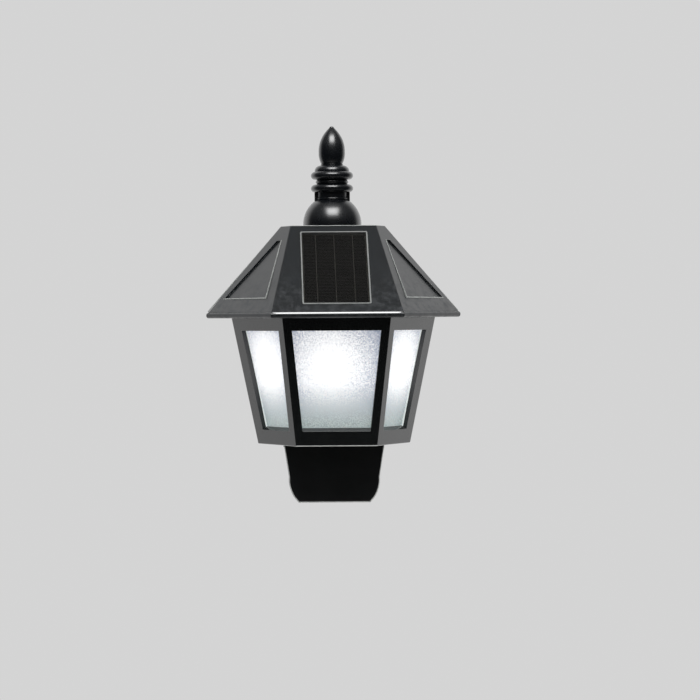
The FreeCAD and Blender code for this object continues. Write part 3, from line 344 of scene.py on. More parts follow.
def roof_plastic():
    """Satin black plastic, dulled in patches towards the eaves, with painted highlights in light grey on
    edges that don't face down.
    """
    surface = Surface("weathered_black_plastic_with_painted_highlights")
    flow = surface.noise(46.0, 5.0, 0.7)
    clean = surface.ramp(flow, [(0.3, colour(13, 16, 18)), (0.7, colour(20, 24, 27))])
    low_down = surface.remap(surface.axis("Z"), 62.0 * MM, 27.0 * MM, smooth=True)
    patches = surface.remap(surface.noise(170.0, 8.0, 0.75), 0.46, 0.74)
    dust = surface.maths("MULTIPLY", low_down, patches)
    thin = surface.maths("MULTIPLY", dust, 0.13)
    dulled = surface.mix(thin, clean, (*colour(128, 134, 140), 1.0))
    # painted highlight: sharp edges that don't face down turn light grey
    facing = surface.node("ShaderNodeSeparateXYZ")
    surface.link(surface.node("ShaderNodeNewGeometry").outputs["True Normal"], facing.inputs["Vector"])
    not_under = surface.maths("GREATER_THAN", facing.outputs["Z"], -0.2)
    edges = surface.maths("MULTIPLY", surface.sharp_edges(painted_highlight_reach * MM, 0.8), not_under)
    highlighted = surface.mix(edges, dulled, painted_edge_highlight)
    surface.link(highlighted, surface.shader.inputs["Base Color"])
    surface.link(surface.spread(dust, 0.33, 0.62), surface.shader.inputs["Roughness"])
    fine = surface.noise(2200.0, 2.0)
    normal = surface.bump(fine, 0.03, 0.1 * MM, surface.soft_edges(0.6 * MM))
    surface.link(normal, surface.shader.inputs["Normal"])
    return surface.material


def frosted(name, centre, reach):
    """Frosted plastic lit from behind: white round the lamp, cooler at the rim, green grey at the foot."""
    surface = Surface(name)
    grit = surface.noise(1300.0, 2.0, 0.6)
    sparkle = surface.remap(grit, 0.34, 0.66, -0.25, 0.25)
    away = surface.node("ShaderNodeMapping")
    away.inputs["Scale"].default_value = [1.0 / (r * MM) for r in reach]
    away.inputs["Location"].default_value = [-c / r for c, r in zip(centre, reach)]
    surface.link(surface.place, away.inputs["Vector"])
    length = surface.node("ShaderNodeVectorMath", operation="LENGTH")
    surface.link(away.outputs["Vector"], length.inputs[0])
    distance = surface.maths("ADD", length.outputs["Value"], sparkle)
    glow = surface.ramp(distance, [(0.0, (0.95, 0.95, 0.95)), (0.38, (0.78, 0.78, 0.79)),
                                   (0.56, (0.47, 0.48, 0.52)), (0.78, (0.25, 0.28, 0.36)),
                                   (1.0, (0.12, 0.15, 0.22))])
    foot = surface.remap(surface.axis("Z"), foot_shade[0] * MM, foot_shade[1] * MM)
    green = surface.ramp(grit, [(0.35, (0.08, 0.115, 0.11)), (0.65, (0.20, 0.25, 0.235))])
    low = surface.mix(foot, glow, green)
    surface.link(low, surface.shader.inputs["Emission Color"])
    tint = surface.ramp(grit, [(0.35, (0.36, 0.38, 0.40)), (0.65, (0.50, 0.52, 0.53))])
    surface.link(tint, surface.shader.inputs["Base Color"])
    surface.set(Emission_Strength=1.0, Roughness=0.45, Subsurface_Weight=0.1, Subsurface_Scale=0.002)
    return surface.material


def solar_cell():
    """Dark silicon, a little browner in places."""
    surface = Surface("dark_silicon")
    cloud = surface.ramp(surface.noise(70.0), [(0.3, colour(12, 12, 12)), (0.7, colour(20, 19, 17))])
    surface.link(cloud, surface.shader.inputs["Base Color"])
    surface.link(surface.spread(surface.noise(500.0), 0.22, 0.3), surface.shader.inputs["Roughness"])
    surface.set(Specular_IOR_Level=0.3)
    return surface.material


def clear_cover():
    """Clear resin that darkens what lies under it a little."""
    surface = Surface("clear_resin")
    cloud = surface.noise(220.0, 5.0, 0.7)
    haze = surface.ramp(cloud, [(0.3, colour(16, 16, 15)), (0.7, colour(24, 24, 22))])
    surface.link(haze, surface.shader.inputs["Base Color"])
    surface.set(Roughness=0.06, Alpha=0.3)
    return surface.material


def circuit_board():
    """Green lacquer over copper tracks."""
    surface = Surface("green_lacquer")
    tracks = surface.node("ShaderNodeTexBrick")
    tracks.inputs["Scale"].default_value = 330.0
    tracks.inputs["Mortar Size"].default_value = 0.035
    tracks.inputs["Color1"].default_value = (*colour(22, 92, 52), 1.0)
    tracks.inputs["Color2"].default_value = (*colour(26, 104, 58), 1.0)
    tracks.inputs["Mortar"].default_value = (*colour(60, 140, 84), 1.0)
    surface.link(surface.place, tracks.inputs["Vector"])
    surface.link(tracks.outputs["Color"], surface.shader.inputs["Base Color"])
    surface.set(Roughness=0.32, Coat_Weight=0.3)
    return surface.material


def cell_jacket():
    """Foil jacket in two plain colours along the cell, with bare steel at its ends."""
    surface = Surface("cell_jacket")
    low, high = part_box("battery_cell")[0][0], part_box("battery_cell")[1][0]
    along = surface.remap(surface.axis("X"), low, high)
    steel, blue, grey_band = colour(196, 196, 194), colour(38, 66, 92), colour(172, 174, 176)
    bands = surface.ramp(along, [(0.0, steel), (0.03, blue), (0.72, grey_band), (0.96, steel)])
    bands.node.color_ramp.interpolation = "CONSTANT"
    surface.link(bands, surface.shader.inputs["Base Color"])
    surface.link(surface.spread(surface.noise(300.0), 0.25, 0.4), surface.shader.inputs["Roughness"])
    surface.set(Metallic=0.5)
    return surface.material


def lamp_lens():
    """Lens of the lit lamp."""
    surface = Surface("lamp_lens")
    haze = surface.ramp(surface.noise(900.0), [(0.3, (0.80, 0.82, 0.84)), (0.7, (0.94, 0.94, 0.92))])
    surface.link(haze, surface.shader.inputs["Base Color"])
    surface.link(haze, surface.shader.inputs["Emission Color"])
    surface.set(Roughness=0.15, Emission_Strength=4.0, Transmission_Weight=0.4)
    return surface.material


def painted_glow_lip():
    """Lip of the window frames, with a painted glow that stands for the panes' light on it."""
    surface = Surface("painted_glow_lip")
    cloud = surface.noise(240.0, 4.0, 0.6)
    tint = surface.ramp(cloud, [(0.3, colour(190, 196, 194)), (0.7, colour(214, 219, 217))])
    surface.link(tint, surface.shader.inputs["Base Color"])
    # painted glow: the lip emits its own colour for the panes' light
    surface.link(tint, surface.shader.inputs["Emission Color"])
    surface.set(Roughness=0.4, Emission_Strength=0.75)
    return surface.material


def make_materials():
    """All materials by a short name; colours are 8-bit levels."""
    return {
        "black": moulded("satin_black_plastic", colour(6, 9, 10), colour(12, 15, 16), 0.20, 0.28, painted_highlight_amount=0.35),
        "turned": moulded("gloss_black_plastic", colour(7, 9, 12), colour(13, 16, 20), 0.24, 0.30,
                          edge=0.1 * MM, grain=0.01),
        "bead": moulded("polished_black_plastic", colour(7, 9, 10), colour(12, 15, 16), 0.10, 0.15,
                        edge=0.1 * MM, grain=0.01, coat=1.0),
        "roof": roof_plastic(),
        "grained": moulded("grained_black_plastic", colour(13, 14, 15), colour(21, 22, 23), 0.34, 0.46,
                           grain=0.08, painted_highlight_amount=0.6, gloss=0.4),
        "knob": moulded("white_knob", colour(206, 206, 200), colour(222, 222, 216), 0.35, 0.5),
        "lip": plate("grey_seal", colour(124, 127, 126), colour(150, 152, 150), 0.5),
        "mirror": plate("white_reflector", colour(218, 219, 218), colour(232, 232, 230), 0.22),
        "silicon": solar_cell(),
        "collector": plate("collector_paste", colour(36, 35, 33), colour(46, 45, 41), 0.4, 300.0),
        # light greys that paint the highlights of round edges
        "painted_edge_highlight": plate("painted_highlight_edge", colour(150, 153, 151), colour(190, 193, 190), 0.35, 240.0),
        "bright_painted_highlight": plate("bright_painted_highlight_edge", colour(196, 199, 196), colour(222, 224, 221), 0.35, 240.0),
        "panel_back": plate("panel_back", colour(64, 63, 58), colour(90, 88, 80), 0.5, 300.0),
        "clear": clear_cover(),
        "board": circuit_board(),
        "steel": plate("zinc_plated_steel", colour(176, 177, 176), colour(204, 204, 200), 0.30, 420.0,
                       metallic=0.95, grain=0.05),
        "jacket": cell_jacket(),
        "chip": plate("chip_resin", colour(20, 20, 21), colour(30, 30, 31), 0.5, 400.0),
        "ferrite": plate("ferrite", colour(52, 54, 56), colour(70, 71, 72), 0.6, 500.0),
        "red": plate("red_lead", colour(150, 24, 22), colour(170, 32, 28), 0.4, 200.0),
        "grey_lead": plate("grey_lead", colour(40, 40, 42), colour(54, 54, 56), 0.4, 200.0),
        "lamp": lamp_lens(),
        "painted_glow_lip": painted_glow_lip(),
    }


# ---------------------------------------------------------------- light and stage

def area_light(name, place, towards, size, power, glossy=True):
    """Rectangular light; without glossy it lights the object but no gloss shows it."""
    data = bpy.data.lights.new(name, "AREA")
    data.shape = "RECTANGLE"
    data.size, data.size_y = size
    data.energy = power
    light = bpy.data.objects.new(name, data)
    bpy.context.scene.collection.objects.link(light)
    light.location = place
    light.visible_glossy = glossy
    light.rotation_euler = (Vector(towards) - Vector(place)).to_track_quat("-Z", "Y").to_euler()


def make_world():
    """A pale wall behind the object, and a dim room in front that is darkest low down and holds a softbox."""
    world = bpy.data.worlds.new("studio")
    bpy.context.scene.world = world
    world.use_nodes = True
    tree = world.node_tree
    tree.nodes.clear()
    link = tree.links.new
    output = tree.nodes.new("ShaderNodeOutputWorld")
    path = tree.nodes.new("ShaderNodeLightPath")
    direction = tree.nodes.new("ShaderNodeTexCoord")
    parts = tree.nodes.new("ShaderNodeSeparateXYZ")
    link(direction.outputs["Generated"], parts.inputs["Vector"])

    def fade(socket, start, end, low=0.0, high=1.0):
        node = tree.nodes.new("ShaderNodeMapRange")
        node.inputs["From Min"].default_value = start
        node.inputs["From Max"].default_value = end
        node.inputs["To Min"].default_value = low
        node.inputs["To Max"].default_value = high
        node.interpolation_type = "SMOOTHSTEP"
        link(parts.outputs[socket], node.inputs["Value"])
        return node.outputs["Result"]

    def maths(operation, first, second):
        node = tree.nodes.new("ShaderNodeMath")
        node.operation = operation
        link(first, node.inputs[0])
        link(second, node.inputs[1])
        return node.outputs["Value"]

    behind = fade("Y", *wall_fade, high=reflected_wall)
    room = fade("Z", *room_fade, reflected_floor, reflected_ceiling)
    tall = maths("MULTIPLY", fade("Z", *softbox_foot), fade("Z", *softbox_head))
    outer, inner = softbox_side
    wide = maths("MULTIPLY", fade("X", -outer, -inner), fade("X", outer, inner))
    front = maths("MULTIPLY", maths("MULTIPLY", tall, wide), fade("Y", *softbox_front, high=softbox))
    reflected = maths("ADD", maths("MAXIMUM", behind, room), front)
    backgrounds = {}
    for name, level in (("camera", backdrop), ("diffuse", ambient), ("glossy", 1.0)):
        node = tree.nodes.new("ShaderNodeBackground")
        node.inputs["Color"].default_value = (level, level, level, 1.0)
        backgrounds[name] = node
    link(reflected, backgrounds["glossy"].inputs["Strength"])
    glossy = tree.nodes.new("ShaderNodeMixShader")
    link(maths("MAXIMUM", path.outputs["Is Glossy Ray"], path.outputs["Is Transmission Ray"]),
         glossy.inputs["Fac"])
    link(backgrounds["diffuse"].outputs["Background"], glossy.inputs[1])
    link(backgrounds["glossy"].outputs["Background"], glossy.inputs[2])
    seen = tree.nodes.new("ShaderNodeMixShader")
    link(path.outputs["Is Camera Ray"], seen.inputs["Fac"])
    link(glossy.outputs["Shader"], seen.inputs[1])
    link(backgrounds["camera"].outputs["Background"], seen.inputs[2])
    link(seen.outputs["Shader"], output.inputs["Surface"])


def make_floor():
    """Pale floor under the object that runs out into the backdrop."""
    bm = bmesh.new()
    bmesh.ops.create_grid(bm, x_segments=4, y_segments=4, size=floor_half)
    mesh = bpy.data.meshes.new("floor")
    bm.to_mesh(mesh)
    bm.free()
    floor = bpy.data.objects.new("floor", mesh)
    floor.location.z = cad_box[0][2] - floor_below
    bpy.context.scene.collection.objects.link(floor)
    surface = Surface("pale_floor")
    pale = surface.ramp(surface.noise(3.0), [(0.3, (0.62, 0.62, 0.61)), (0.7, (0.66, 0.66, 0.65))])
    surface.link(pale, surface.shader.inputs["Base Color"])
    surface.set(Roughness=0.7)
    clear = surface.node("ShaderNodeBsdfTransparent")
    length = surface.node("ShaderNodeVectorMath", operation="LENGTH")
    surface.link(surface.place, length.inputs[0])
    far = surface.remap(length.outputs["Value"], *floor_fade, smooth=True)
    mix = surface.node("ShaderNodeMixShader")
    surface.link(far, mix.inputs["Fac"])
    surface.link(surface.shader.outputs["BSDF"], mix.inputs[1])
    surface.link(clear.outputs["BSDF"], mix.inputs[2])
    surface.link(mix.outputs["Shader"], surface.tree.nodes["Material Output"].inputs["Surface"])
    floor.data.materials.append(surface.material)


# ---------------------------------------------------------------- meshes

box_faces = ((0, 1, 2, 3), (4, 5, 6, 7), (0, 1, 5, 4), (1, 2, 6, 5), (2, 3, 7, 6), (3, 0, 4, 7))


def mesh_piece(name, bm, material, body):
    """Piece from a closed mesh, riding on a body."""
    mesh = bpy.data.meshes.new(name)
    bmesh.ops.recalc_face_normals(bm, faces=bm.faces)
    bm.to_mesh(mesh)
    bm.free()
    piece = bpy.data.objects.new(name, mesh)
    bpy.context.scene.collection.objects.link(piece)
    mesh.materials.append(material)
    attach(piece, body)
    return piece


def smooth(piece, angle):
    """Shades smooth up to an angle in degrees."""
    piece.data.shade_smooth()
    piece.data.set_sharp_from_angle(angle=math.radians(angle))


def cut(piece, tool):
    """Takes the tool's volume out of the piece, and applies it."""
    change = piece.modifiers.new("cut", "BOOLEAN")
    change.object = tool
    change.operation = "DIFFERENCE"
    change.solver = "EXACT"
    graph = bpy.context.evaluated_depsgraph_get()
    graph.update()
    done = bpy.data.meshes.new_from_object(piece.evaluated_get(graph))
    piece.modifiers.clear()
    old = piece.data
    piece.data = done
    bpy.data.meshes.remove(old)
    bpy.data.objects.remove(tool)


def tool_object(bm):
    """Object that only serves to cut another."""
    mesh = bpy.data.meshes.new("tool")
    bmesh.ops.recalc_face_normals(bm, faces=bm.faces)
    bm.to_mesh(mesh)
    bm.free()
    tool = bpy.data.objects.new("tool", mesh)
    bpy.context.scene.collection.objects.link(tool)
    return tool


def distinct(points, apart):
    """The points that keep a distance from all that come before them."""
    kept = []
    for p in points:
        if all((p - q).length > apart for q in kept):
            kept.append(p.copy())
    return kept


def skin(bm, rings):
    """Closed skin over rings of equal length, flat at both ends."""
    for first, second in zip(rings, rings[1:]):
        for i in range(len(first)):
            k = (i + 1) % len(first)
            bm.faces.new((first[i], first[k], second[k], second[i]))
    bm.faces.new(rings[0])
    bm.faces.new(reversed(rings[-1]))


def swell(core, low, bulge, height, start, end, steps):
    """Radius and height along a round moulding beside a core, as an ellipse."""
    angles = [math.radians(start + (end - start) * i / steps) for i in range(steps + 1)]
    return [(core + bulge * math.cos(a), low + height * (1 + math.sin(a)) / 2) for a in angles]


# ---------------------------------------------------------------- finial

def finial_profile():
    """From the foot on the roof up to the tip, in mm."""
    dome_z = finial_foot + dome_rise
    points = [(dome_r, finial_foot + foot_gap)]
    points += swell(0, dome_z - dome_r, dome_r, 2 * dome_r, 0, dome_arc, 26)
    points += swell(*neck_collar)
    points += [(neck_r, z) for z in neck_levels]
    for moulding in (lower_ring, middle_collar, upper_ring, shoulder, top_collar):
        points += swell(*moulding)
    points += [(bud_r * math.sqrt(1 - ((bud_wide - z) / bud_drop) ** 2), z)
               for z in (bud_foot + bud_step * i for i in range(10))]
    rise = finial_top - bud_wide
    for i in range(1, bud_steps):
        t = (i / bud_steps) ** bud_bias
        r = bud_r * (1 - t ** bud_power)
        if r > tip_r:
            points.append((r, bud_wide + rise * t))
    last_r, last_z = points[-1]
    points += [(last_r * math.cos(a), last_z + tip_r * tip_rise * math.sin(a))
               for a in (math.radians(12 * i) for i in range(1, 7))]
    return points


def make_finial(materials):
    """Half of a turned form, flat on the wall side, with the groove for the bracket's tongue."""
    bm = bmesh.new()
    rings = []
    for r, z in finial_profile():
        start = math.asin(min(1.0, wall_gap / max(r, wall_gap)))
        angles = [start + (math.pi - 2 * start) * i / turns for i in range(turns + 1)]
        rings.append([bm.verts.new((r * math.cos(a) * MM, -max(r * math.sin(a), wall_gap) * MM, z * MM))
                      for a in angles])
    for low, high in zip(rings, rings[1:]):
        for i in range(turns):
            bm.faces.new((low[i], low[i + 1], high[i + 1], high[i]))
        bm.faces.new((low[-1], low[0], high[0], high[-1]))
    bm.faces.new(rings[0])
    bm.faces.new(reversed(rings[-1]))
    piece = mesh_piece("turned_finial", bm, materials["turned"], "lantern")
    tool = bmesh.new()
    half = (tongue_half + move_gap) * MM
    low, high = (finial_foot - 1) * MM, (finial_foot + tongue_h + move_gap) * MM
    deep = -(bracket_t + move_gap) * MM
    corners = [tool.verts.new((x, y, z)) for z in (low, high)
               for x, y in ((-half, deep), (half, deep), (half, MM), (-half, MM))]
    for k in box_faces:
        tool.faces.new([corners[i] for i in k])
    cut(piece, tool_object(tool))
    smooth(piece, 38)
    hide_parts("finial")


# ---------------------------------------------------------------- frosted panes

def pane_corners(node):
    """Outer and inner corners of a pane's plate, in order round it, and its outward direction."""
    mesh = node.data
    areas = {}
    for face in mesh.polygons:
        key = tuple(round(c, 2) for c in face.normal)
        areas.setdefault(key, [0.0, face.normal.copy()])
        areas[key][0] += face.area
    points = [v.co.copy() for v in mesh.vertices]
    middle = sum(points, Vector()) / len(points)
    inside = Vector((0, -10 * MM, middle.z))
    out = max((entry for entry in areas.values() if entry[1].dot(middle - inside) > 0), key=lambda e: e[0])[1]
    reach = max(p.dot(out) for p in points)
    outer = distinct([p for p in points if p.dot(out) > reach - 0.1 * MM], 0.5 * MM)
    across = Vector((0, 0, 1)).cross(out).normalized()
    up = out.cross(across).normalized()
    centre = sum(outer, Vector()) / 4
    outer.sort(key=lambda p: math.atan2((p - centre).dot(up), (p - centre).dot(across)))
    return outer, [p - out * pane_t * MM for p in outer], out


def pebbles(point):
    """Depth of the frosting at a point, 0 to 1."""
    coarse = noise.noise(point / (pebble * MM))
    fine = noise.noise(point / (0.55 * pebble * MM) + Vector((7.1, 3.3, 1.7)))
    return min(1.0, max(0.0, 0.5 + 0.55 * coarse + 0.35 * fine))


def make_pane(node_name, piece_name, material):
    """Pane whose outer face is pebbled."""
    outer, inner, out = pane_corners(nodes[node_name])
    a, b, c, d = outer
    wide = max((b - a).length, (c - d).length)
    tall = max((d - a).length, (c - b).length)
    columns = round(wide / (pebble_step * MM))
    rows = round(tall / (pebble_step * MM))
    bm = bmesh.new()
    grid = []
    for j in range(rows + 1):
        v = j / rows
        left, right = a.lerp(d, v), b.lerp(c, v)
        line = []
        for i in range(columns + 1):
            point = left.lerp(right, i / columns)
            edge = i in (0, columns) or j in (0, rows)
            depth = 0.0 if edge else pebble_depth * MM * pebbles(point)
            line.append(bm.verts.new(point - out * depth))
        grid.append(line)
    for low, high in zip(grid, grid[1:]):
        for i in range(columns):
            bm.faces.new((low[i], low[i + 1], high[i + 1], high[i]))
    back = [bm.verts.new(p) for p in inner]
    bm.faces.new(reversed(back))
    sides = [grid[0], [line[-1] for line in grid], grid[-1][::-1], [line[0] for line in grid][::-1]]
    for k, side in enumerate(sides):
        bm.faces.new([*side[::-1], back[k], back[(k + 1) % 4]])
    piece = mesh_piece(piece_name, bm, material, "lantern")
    smooth(piece, 50)
    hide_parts(node_name)


# ---------------------------------------------------------------- solar cells and eaves bead

def block(bm, origin, along, up, out, index=0):
    """Six-sided block from a corner and its three edges."""
    corners = [bm.verts.new(origin + along * a + up * b + out * c)
               for c in (0, 1) for a, b in ((0, 0), (1, 0), (1, 1), (0, 1))]
    for k in box_faces:
        face = bm.faces.new([corners[i] for i in k])
        face.material_index = index


def make_cells(materials):
    """Four strips of silicon, the outer two narrower, with fine collector lines."""
    mesh = nodes["solar_cells"].data
    out = max(mesh.polygons, key=lambda f: f.area * (1 if f.normal.z > 0 else 0)).normal.copy()
    across = Vector((1, 0, 0))
    up = out.cross(across).normalized()
    if up.z < 0:
        up = -up
    points = [v.co for v in mesh.vertices]
    low_x, high_x = min(p.x for p in points), max(p.x for p in points)
    low_v, high_v = min(p.dot(up) for p in points), max(p.dot(up) for p in points)
    base, top = min(p.dot(out) for p in points), max(p.dot(out) for p in points)
    width = high_x - low_x
    finger = finger_t * MM
    end = finger_end * MM
    bm = bmesh.new()
    edges = [0.0, *cell_splits, 1.0]
    for first, last in zip(edges, edges[1:]):
        x0 = low_x + width * first + (cell_gap / 2 * MM if first else 0)
        x1 = low_x + width * last - (cell_gap / 2 * MM if last < 1 else 0)
        origin = across * x0 + up * low_v + out * base
        block(bm, origin, across * (x1 - x0), up * (high_v - low_v), out * (top - base - finger))
        count = int((high_v - low_v) / (finger_pitch * MM))
        for i in range(count):
            v = low_v + (i + 0.5) * (high_v - low_v) / count
            origin = across * (x0 + end) + up * v + out * (top - 2 * finger)
            block(bm, origin, across * (x1 - x0 - 2 * end), up * (finger_w * MM), out * (2 * finger), 1)
    piece = mesh_piece("solar_strips", bm, materials["silicon"], "lantern")
    piece.data.materials.append(materials["collector"])
    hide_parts("solar_cells")


def bead_section():
    """Outline of the eaves bead: forward and up, in mm from the roof's front plane and eaves."""
    face = [(bead_curve * (math.cos(bead_low) - math.cos(a)), bead_curve * (math.sin(a) - math.sin(bead_low)))
            for a in (bead_low + (bead_high - bead_low) * i / 12 for i in range(13))]
    back, top = face[-1]
    lower = [(0.55, -0.62), (0.22, -0.52), (0.05, -0.28)]
    upper = [(back + 0.16, top + 0.16), (back + 0.42, top + 0.25)]
    return [(bead_depth, -0.55)] + lower + face + upper + [(bead_depth, top + 0.2)]


def make_bead(materials):
    """Polished bead along the front eaves, rounded at its ends."""
    half = bead_half * MM
    front = cad_box[0][1] + bead_front * MM
    outline = bead_section()
    middle = 0.5 * (outline[0][1] + outline[-1][1])
    # places along the bead, from -1 to 1, closer together at its ends
    stations = [-1 + 0.012 * (1 - math.cos(math.radians(15 * i))) for i in range(7)]
    stations += [i / 10 for i in range(-9, 10)]
    stations += [-x for x in reversed(stations[:7])]
    bm = bmesh.new()
    rings = []
    for x in stations:
        end = min(1.0, (1 - abs(x)) / bead_taper)
        size = max(0.25, math.sqrt(1 - (1 - end) ** 2))
        depth = 0.4 + 0.6 * size
        rings.append([bm.verts.new((x * half, front + (bead_depth - (bead_depth - y) * depth) * MM,
                                    (bead_z + middle + (z - middle) * size) * MM)) for y, z in outline])
    skin(bm, rings)
    piece = mesh_piece("eaves_bead", bm, materials["bead"], "lantern")
    smooth(piece, 40)


# ---------------------------------------------------------------- rounded moulding edges, with painted highlights and glow

def edge_bead(bm, points, radius, sides=8):
    """Round bead along straight runs, mitred at the corners."""
    rings = []
    for i, point in enumerate(points):
        before = (point - points[i - 1]).normalized() if i else None
        after = (points[i + 1] - point).normalized() if i + 1 < len(points) else None
        along = ((before or after) + (after or before)).normalized()
        stretch = 1 / max(0.5, along.dot(before or after))
        side = along.cross(Vector((0, 0.2, 1.0)) if abs(along.z) < 0.9 else Vector((0, 1, 0))).normalized()
        other = side.cross(along)
        inner = 0 < i < len(points) - 1
        size = radius * (stretch if inner else 1.0)
        rings.append([bm.verts.new(point + (side * math.cos(a) + other * math.sin(a)) * size)
                      for a in (2 * math.pi * k / sides for k in range(sides))])
    skin(bm, rings)


def recess_floors():
    """Corners of the two recessed ornaments' floors, with the slope's outward direction."""
    found = {}
    mesh = nodes["roof"].data
    for sign in (-1, 1):
        slope = [f for f in mesh.polygons
                 if f.normal.x * sign > 0.6 and 0.4 < f.normal.z < 0.8 and f.normal.y < -0.2]
        out = max(slope, key=lambda f: f.area).normal.copy()
        same = [f for f in slope if f.normal.dot(out) > 0.9999]
        levels = sorted({round(f.center.dot(out) / MM, 1) for f in same})
        top = levels[-1] * MM
        floor = [f for f in same if abs(f.center.dot(out) - (top - ornament_t * MM)) < 0.25 * MM]
        found[sign] = distinct([mesh.vertices[i].co for f in floor for i in f.vertices], MM), out
    return found


def window_corners(out):
    """Corners of the window in the wall that faces out: down its rear or left side, up the other."""
    mesh = nodes["lantern_body"].data
    same = [f for f in mesh.polygons if f.normal.dot(out) > 0.9999]
    reach = max(f.center.dot(out) for f in same)
    points = [mesh.vertices[i].co for f in same if f.center.dot(out) > reach - 0.1 * MM for i in f.vertices]
    foot, head = min(p.z for p in points), max(p.z for p in points)
    corners = distinct([p for p in points if foot + MM < p.z < head - MM], MM)
    corners.sort(key=lambda p: -p.z)
    high = sorted(corners[:2], key=lambda p: (-round(p.y, 4), p.x))
    low = sorted(corners[-2:], key=lambda p: (-round(p.y, 4), p.x))
    return [high[0], low[0], low[1], high[1]]


def place_edges(name, bm, material, body):
    """Finishes a piece of round edges, with the material it is given, shaded smooth."""
    smooth(mesh_piece(name, bm, material, body), 60)


def make_roof_edges(materials):
    """Round edges painted light grey as highlights: round the ornaments, up the roof's rear corners and round
    its top.
    """
    bm = bmesh.new()
    for corners, out in recess_floors().values():
        lift = out * (ornament_t - edge_lap) * MM
        low = sorted(corners, key=lambda p: p.z)[:2]
        high = sorted(corners, key=lambda p: p.z)[-2:]
        inner_low, outer_low = sorted(low, key=lambda p: p.y)
        inner_high = min(high, key=lambda p: p.y)
        edge_bead(bm, [p + lift for p in (inner_high, inner_low, outer_low)], recess_bead_r * MM)
    points = [v.co for v in nodes["roof"].data.vertices]
    level = finial_foot * MM
    top = [p for p in points if abs(p.z - level) < 0.02 * MM]
    half = max(p.x for p in top)
    rear = max(p.y for p in top)
    front = min(p.y for p in top)
    front_half = max(p.x for p in top if p.y < front + 0.05 * MM)
    low = [p for p in points if p.y > rear - 0.05 * MM and abs(p.z - eaves_top * MM) < 2.0 * MM]
    low_half = max(p.x for p in low)
    inset = edge_inset * MM
    sunk = level - inset * 0.5
    front += inset * 0.3
    for sign in (-1, 1):
        foot = Vector((sign * (low_half - MM), rear - inset, (eaves_top + eaves_rise) * MM))
        head = Vector((sign * (half - inset * 0.3), rear - inset, level - inset * 0.3))
        edge_bead(bm, [foot, head], outline_bead_r * MM)
    edge_bead(bm, [Vector((-half, rear - inset, sunk)), Vector((-front_half, front, sunk)),
                   Vector((front_half, front, sunk)), Vector((half, rear - inset, sunk))],
              outline_bead_r * MM)
    place_edges("roof_edge_highlight_beads", bm, materials["painted_edge_highlight"], "lantern")


def make_body_rim(materials):
    """Round edge at the foot of the body, painted light grey as a highlight."""
    points = [v.co for v in nodes["lantern_body"].data.vertices]
    foot = min(p.z for p in points)
    rim = [p for p in points if p.z < foot + 0.1 * MM]
    rear, front = max(p.y for p in rim) - edge_inset * MM, min(p.y for p in rim)
    half = max(abs(p.x) for p in rim)
    front_half = max(abs(p.x) for p in rim if p.y < front + 0.1 * MM)
    up = foot + 0.25 * MM
    bm = bmesh.new()
    edge_bead(bm, [Vector((-half, rear, up)), Vector((-front_half, front, up)),
                   Vector((front_half, front, up)), Vector((half, rear, up))], rim_bead_r * MM)
    place_edges("body_rim_highlight_bead", bm, materials["bright_painted_highlight"], "lantern")


def make_window_edges(materials):
    """Edges where the panes meet the frames, with a painted glow for the panes' light: along each foot, and
    up the rear of the side windows.
    """
    bm = bmesh.new()
    for name in ("front_pane", "left_pane", "right_pane"):
        outer, _, out = pane_corners(nodes[name])
        reach = outer[0].dot(out) + 0.25 * MM
        rear, low_rear, low_front, _ = [p - out * (p.dot(out) - reach) for p in window_corners(out)]
        path = [low_rear, low_front] if name == "front_pane" else [rear, low_rear, low_front]
        edge_bead(bm, path, window_bead_r * MM)
    place_edges("window_edge_glow_beads", bm, materials["painted_glow_lip"], "lantern")


def make_tail_edge(materials):
    """Round edge round the tail, along the outer rim of its chamfered front, painted light grey as a
    highlight.
    """
    foot = min(v.co.z for v in nodes["lantern_body"].data.vertices)
    points = [v.co for v in nodes["wall_bracket"].data.vertices if v.co.z < foot]
    depths = sorted({round(p.y / MM, 2) for p in points})
    ring = [p for p in points if abs(p.y / MM - depths[2]) < 0.02]
    side = distinct(sorted((p for p in ring if p.x > 0), key=lambda p: -p.z), 0.3 * MM)
    other_side = [Vector((-p.x, p.y, p.z)) for p in reversed(side)]
    bm = bmesh.new()
    edge_bead(bm, side + other_side, outline_bead_r * MM)
    place_edges("tail_edge_highlight_bead", bm, materials["bright_painted_highlight"], "wall")


# ---------------------------------------------------------------- screws

def islands(node):
    """Boxes of a node's separate solids."""
    bm = bmesh.new()
    bm.from_mesh(node.data)
    bmesh.ops.remove_doubles(bm, verts=bm.verts, dist=0.001 * MM)
    left = set(bm.verts)
    boxes = []
    while left:
        group, queue = [], [left.pop()]
        while queue:
            vert = queue.pop()
            group.append(vert.co.copy())
            for edge in vert.link_edges:
                other = edge.other_vert(vert)
                if other in left:
                    left.remove(other)
                    queue.append(other)
        low = Vector(min(p[i] for p in group) for i in range(3))
        high = Vector(max(p[i] for p in group) for i in range(3))
        boxes.append((low, high))
    bm.free()
    return sorted(boxes, key=lambda box: (round(box[0].z, 4), round(box[0].x, 4)))


def screw_profile(low, high):
    """Radius and height along a screw that stands in Y, from its end to the middle of its head."""
    head_r = (high.x - low.x) / 2
    under_head = high.y - screw_head_t * MM
    shank = high.y - low.y - screw_head_t * MM
    count = int(shank / (thread_step * MM))
    profile = [(screw_end_r * MM, low.y)]
    for i in range(count):
        y = low.y + 0.25 * MM + shank * i / count
        profile.append(((thread_crest_r if i % 2 else thread_root_r) * MM, y))
    profile += [(neck_under_head_r * MM, under_head), (head_r - 0.1 * MM, under_head)]
    bend = head_round * MM
    profile += [(head_r - bend + bend * math.cos(t), high.y - bend + bend * math.sin(t))
                for t in (math.radians(18 * i) for i in range(6))]
    return profile


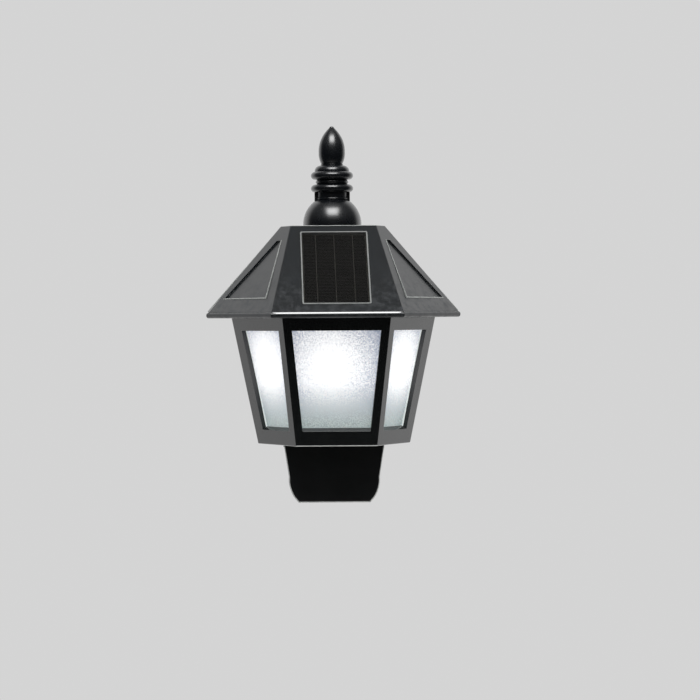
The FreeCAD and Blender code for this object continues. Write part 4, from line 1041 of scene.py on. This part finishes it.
def cross_plan():
    """Corners of the cross recess."""
    arm, thin = cross_arm * MM, cross_half_t * MM
    return [(thin, thin), (arm, thin), (arm, -thin), (thin, -thin), (thin, -arm), (-thin, -arm),
            (-thin, -thin), (-arm, -thin), (-arm, thin), (-thin, thin), (-thin, arm), (thin, arm)]


def make_cover_screws(materials):
    """Pan-head screws into the back cover, each with a cross recess and a threaded shank."""
    bm, tool = bmesh.new(), bmesh.new()
    plan = cross_plan()
    for low, high in islands(nodes["cover_screws"]):
        centre = (low + high) / 2
        angles = [2 * math.pi * i / screw_sides for i in range(screw_sides)]
        skin(bm, [[bm.verts.new((centre.x + r * math.cos(a), y, centre.z + r * math.sin(a))) for a in angles]
                  for r, y in screw_profile(low, high)])
        floor, top = high.y - cross_depth * MM, high.y + 0.3 * MM
        deep = [tool.verts.new((centre.x + x * cross_taper, floor, centre.z + z * cross_taper))
                for x, z in plan]
        mouth = [tool.verts.new((centre.x + x, top, centre.z + z)) for x, z in plan]
        skin(tool, [deep, mouth])
    piece = mesh_piece("cross_head_screws", bm, materials["steel"], "lantern")
    cut(piece, tool_object(tool))
    smooth(piece, 35)
    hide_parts("cover_screws")


# ---------------------------------------------------------------- build

node_materials = {
    "roof": "roof", "lantern_body": "black", "wall_bracket": "grained", "back_cover": "grained",
    "finial": "turned", "finial_screw": "steel", "front_pane": "mirror", "left_pane": "mirror",
    "right_pane": "mirror", "panel_gasket": "lip", "panel_board": "panel_back", "solar_cells": "silicon",
    "panel_cover": "clear", "cover_screws": "steel", "tray_screws": "steel", "battery_cell": "jacket",
    "battery_contact": "steel", "battery_spring": "steel", "spring_plate": "steel",
    "battery_door": "grained", "door_pin": "steel", "switch_body": "grained", "switch_slider": "knob",
    "roof_tray": "grained", "control_board": "board", "driver_chip": "chip", "inductor": "ferrite",
    "reflector": "mirror", "led_board": "board", "led": "lamp", "panel_leads": "red",
    "battery_leads": "red", "led_leads": "grey_lead",
}

make_camera()
make_world()
make_floor()
area_light("key", *key_light)
for side, name in ((-1, "left"), (1, "right")):
    place, *rest = side_light
    area_light(name, (side * place[0], *place[1:]), *rest, glossy=False)
materials = make_materials()
for name, node in nodes.items():
    node.data.materials.clear()
    node.data.materials.append(materials[node_materials[name]])
make_finial(materials)
make_pane("front_pane", "frosted_front_pane", frosted("frosted_front", *front_glow))
for side, name in ((-1, "left"), (1, "right")):
    centre, reach = side_glow
    material = frosted("frosted_%s" % name, (side * centre[0], *centre[1:]), reach)
    make_pane("%s_pane" % name, "frosted_%s_pane" % name, material)
make_cover_screws(materials)
make_cells(materials)
make_bead(materials)
make_roof_edges(materials)
make_body_rim(materials)
make_window_edges(materials)
make_tail_edge(materials)

bpy.context.scene.view_settings.view_transform = "Standard"
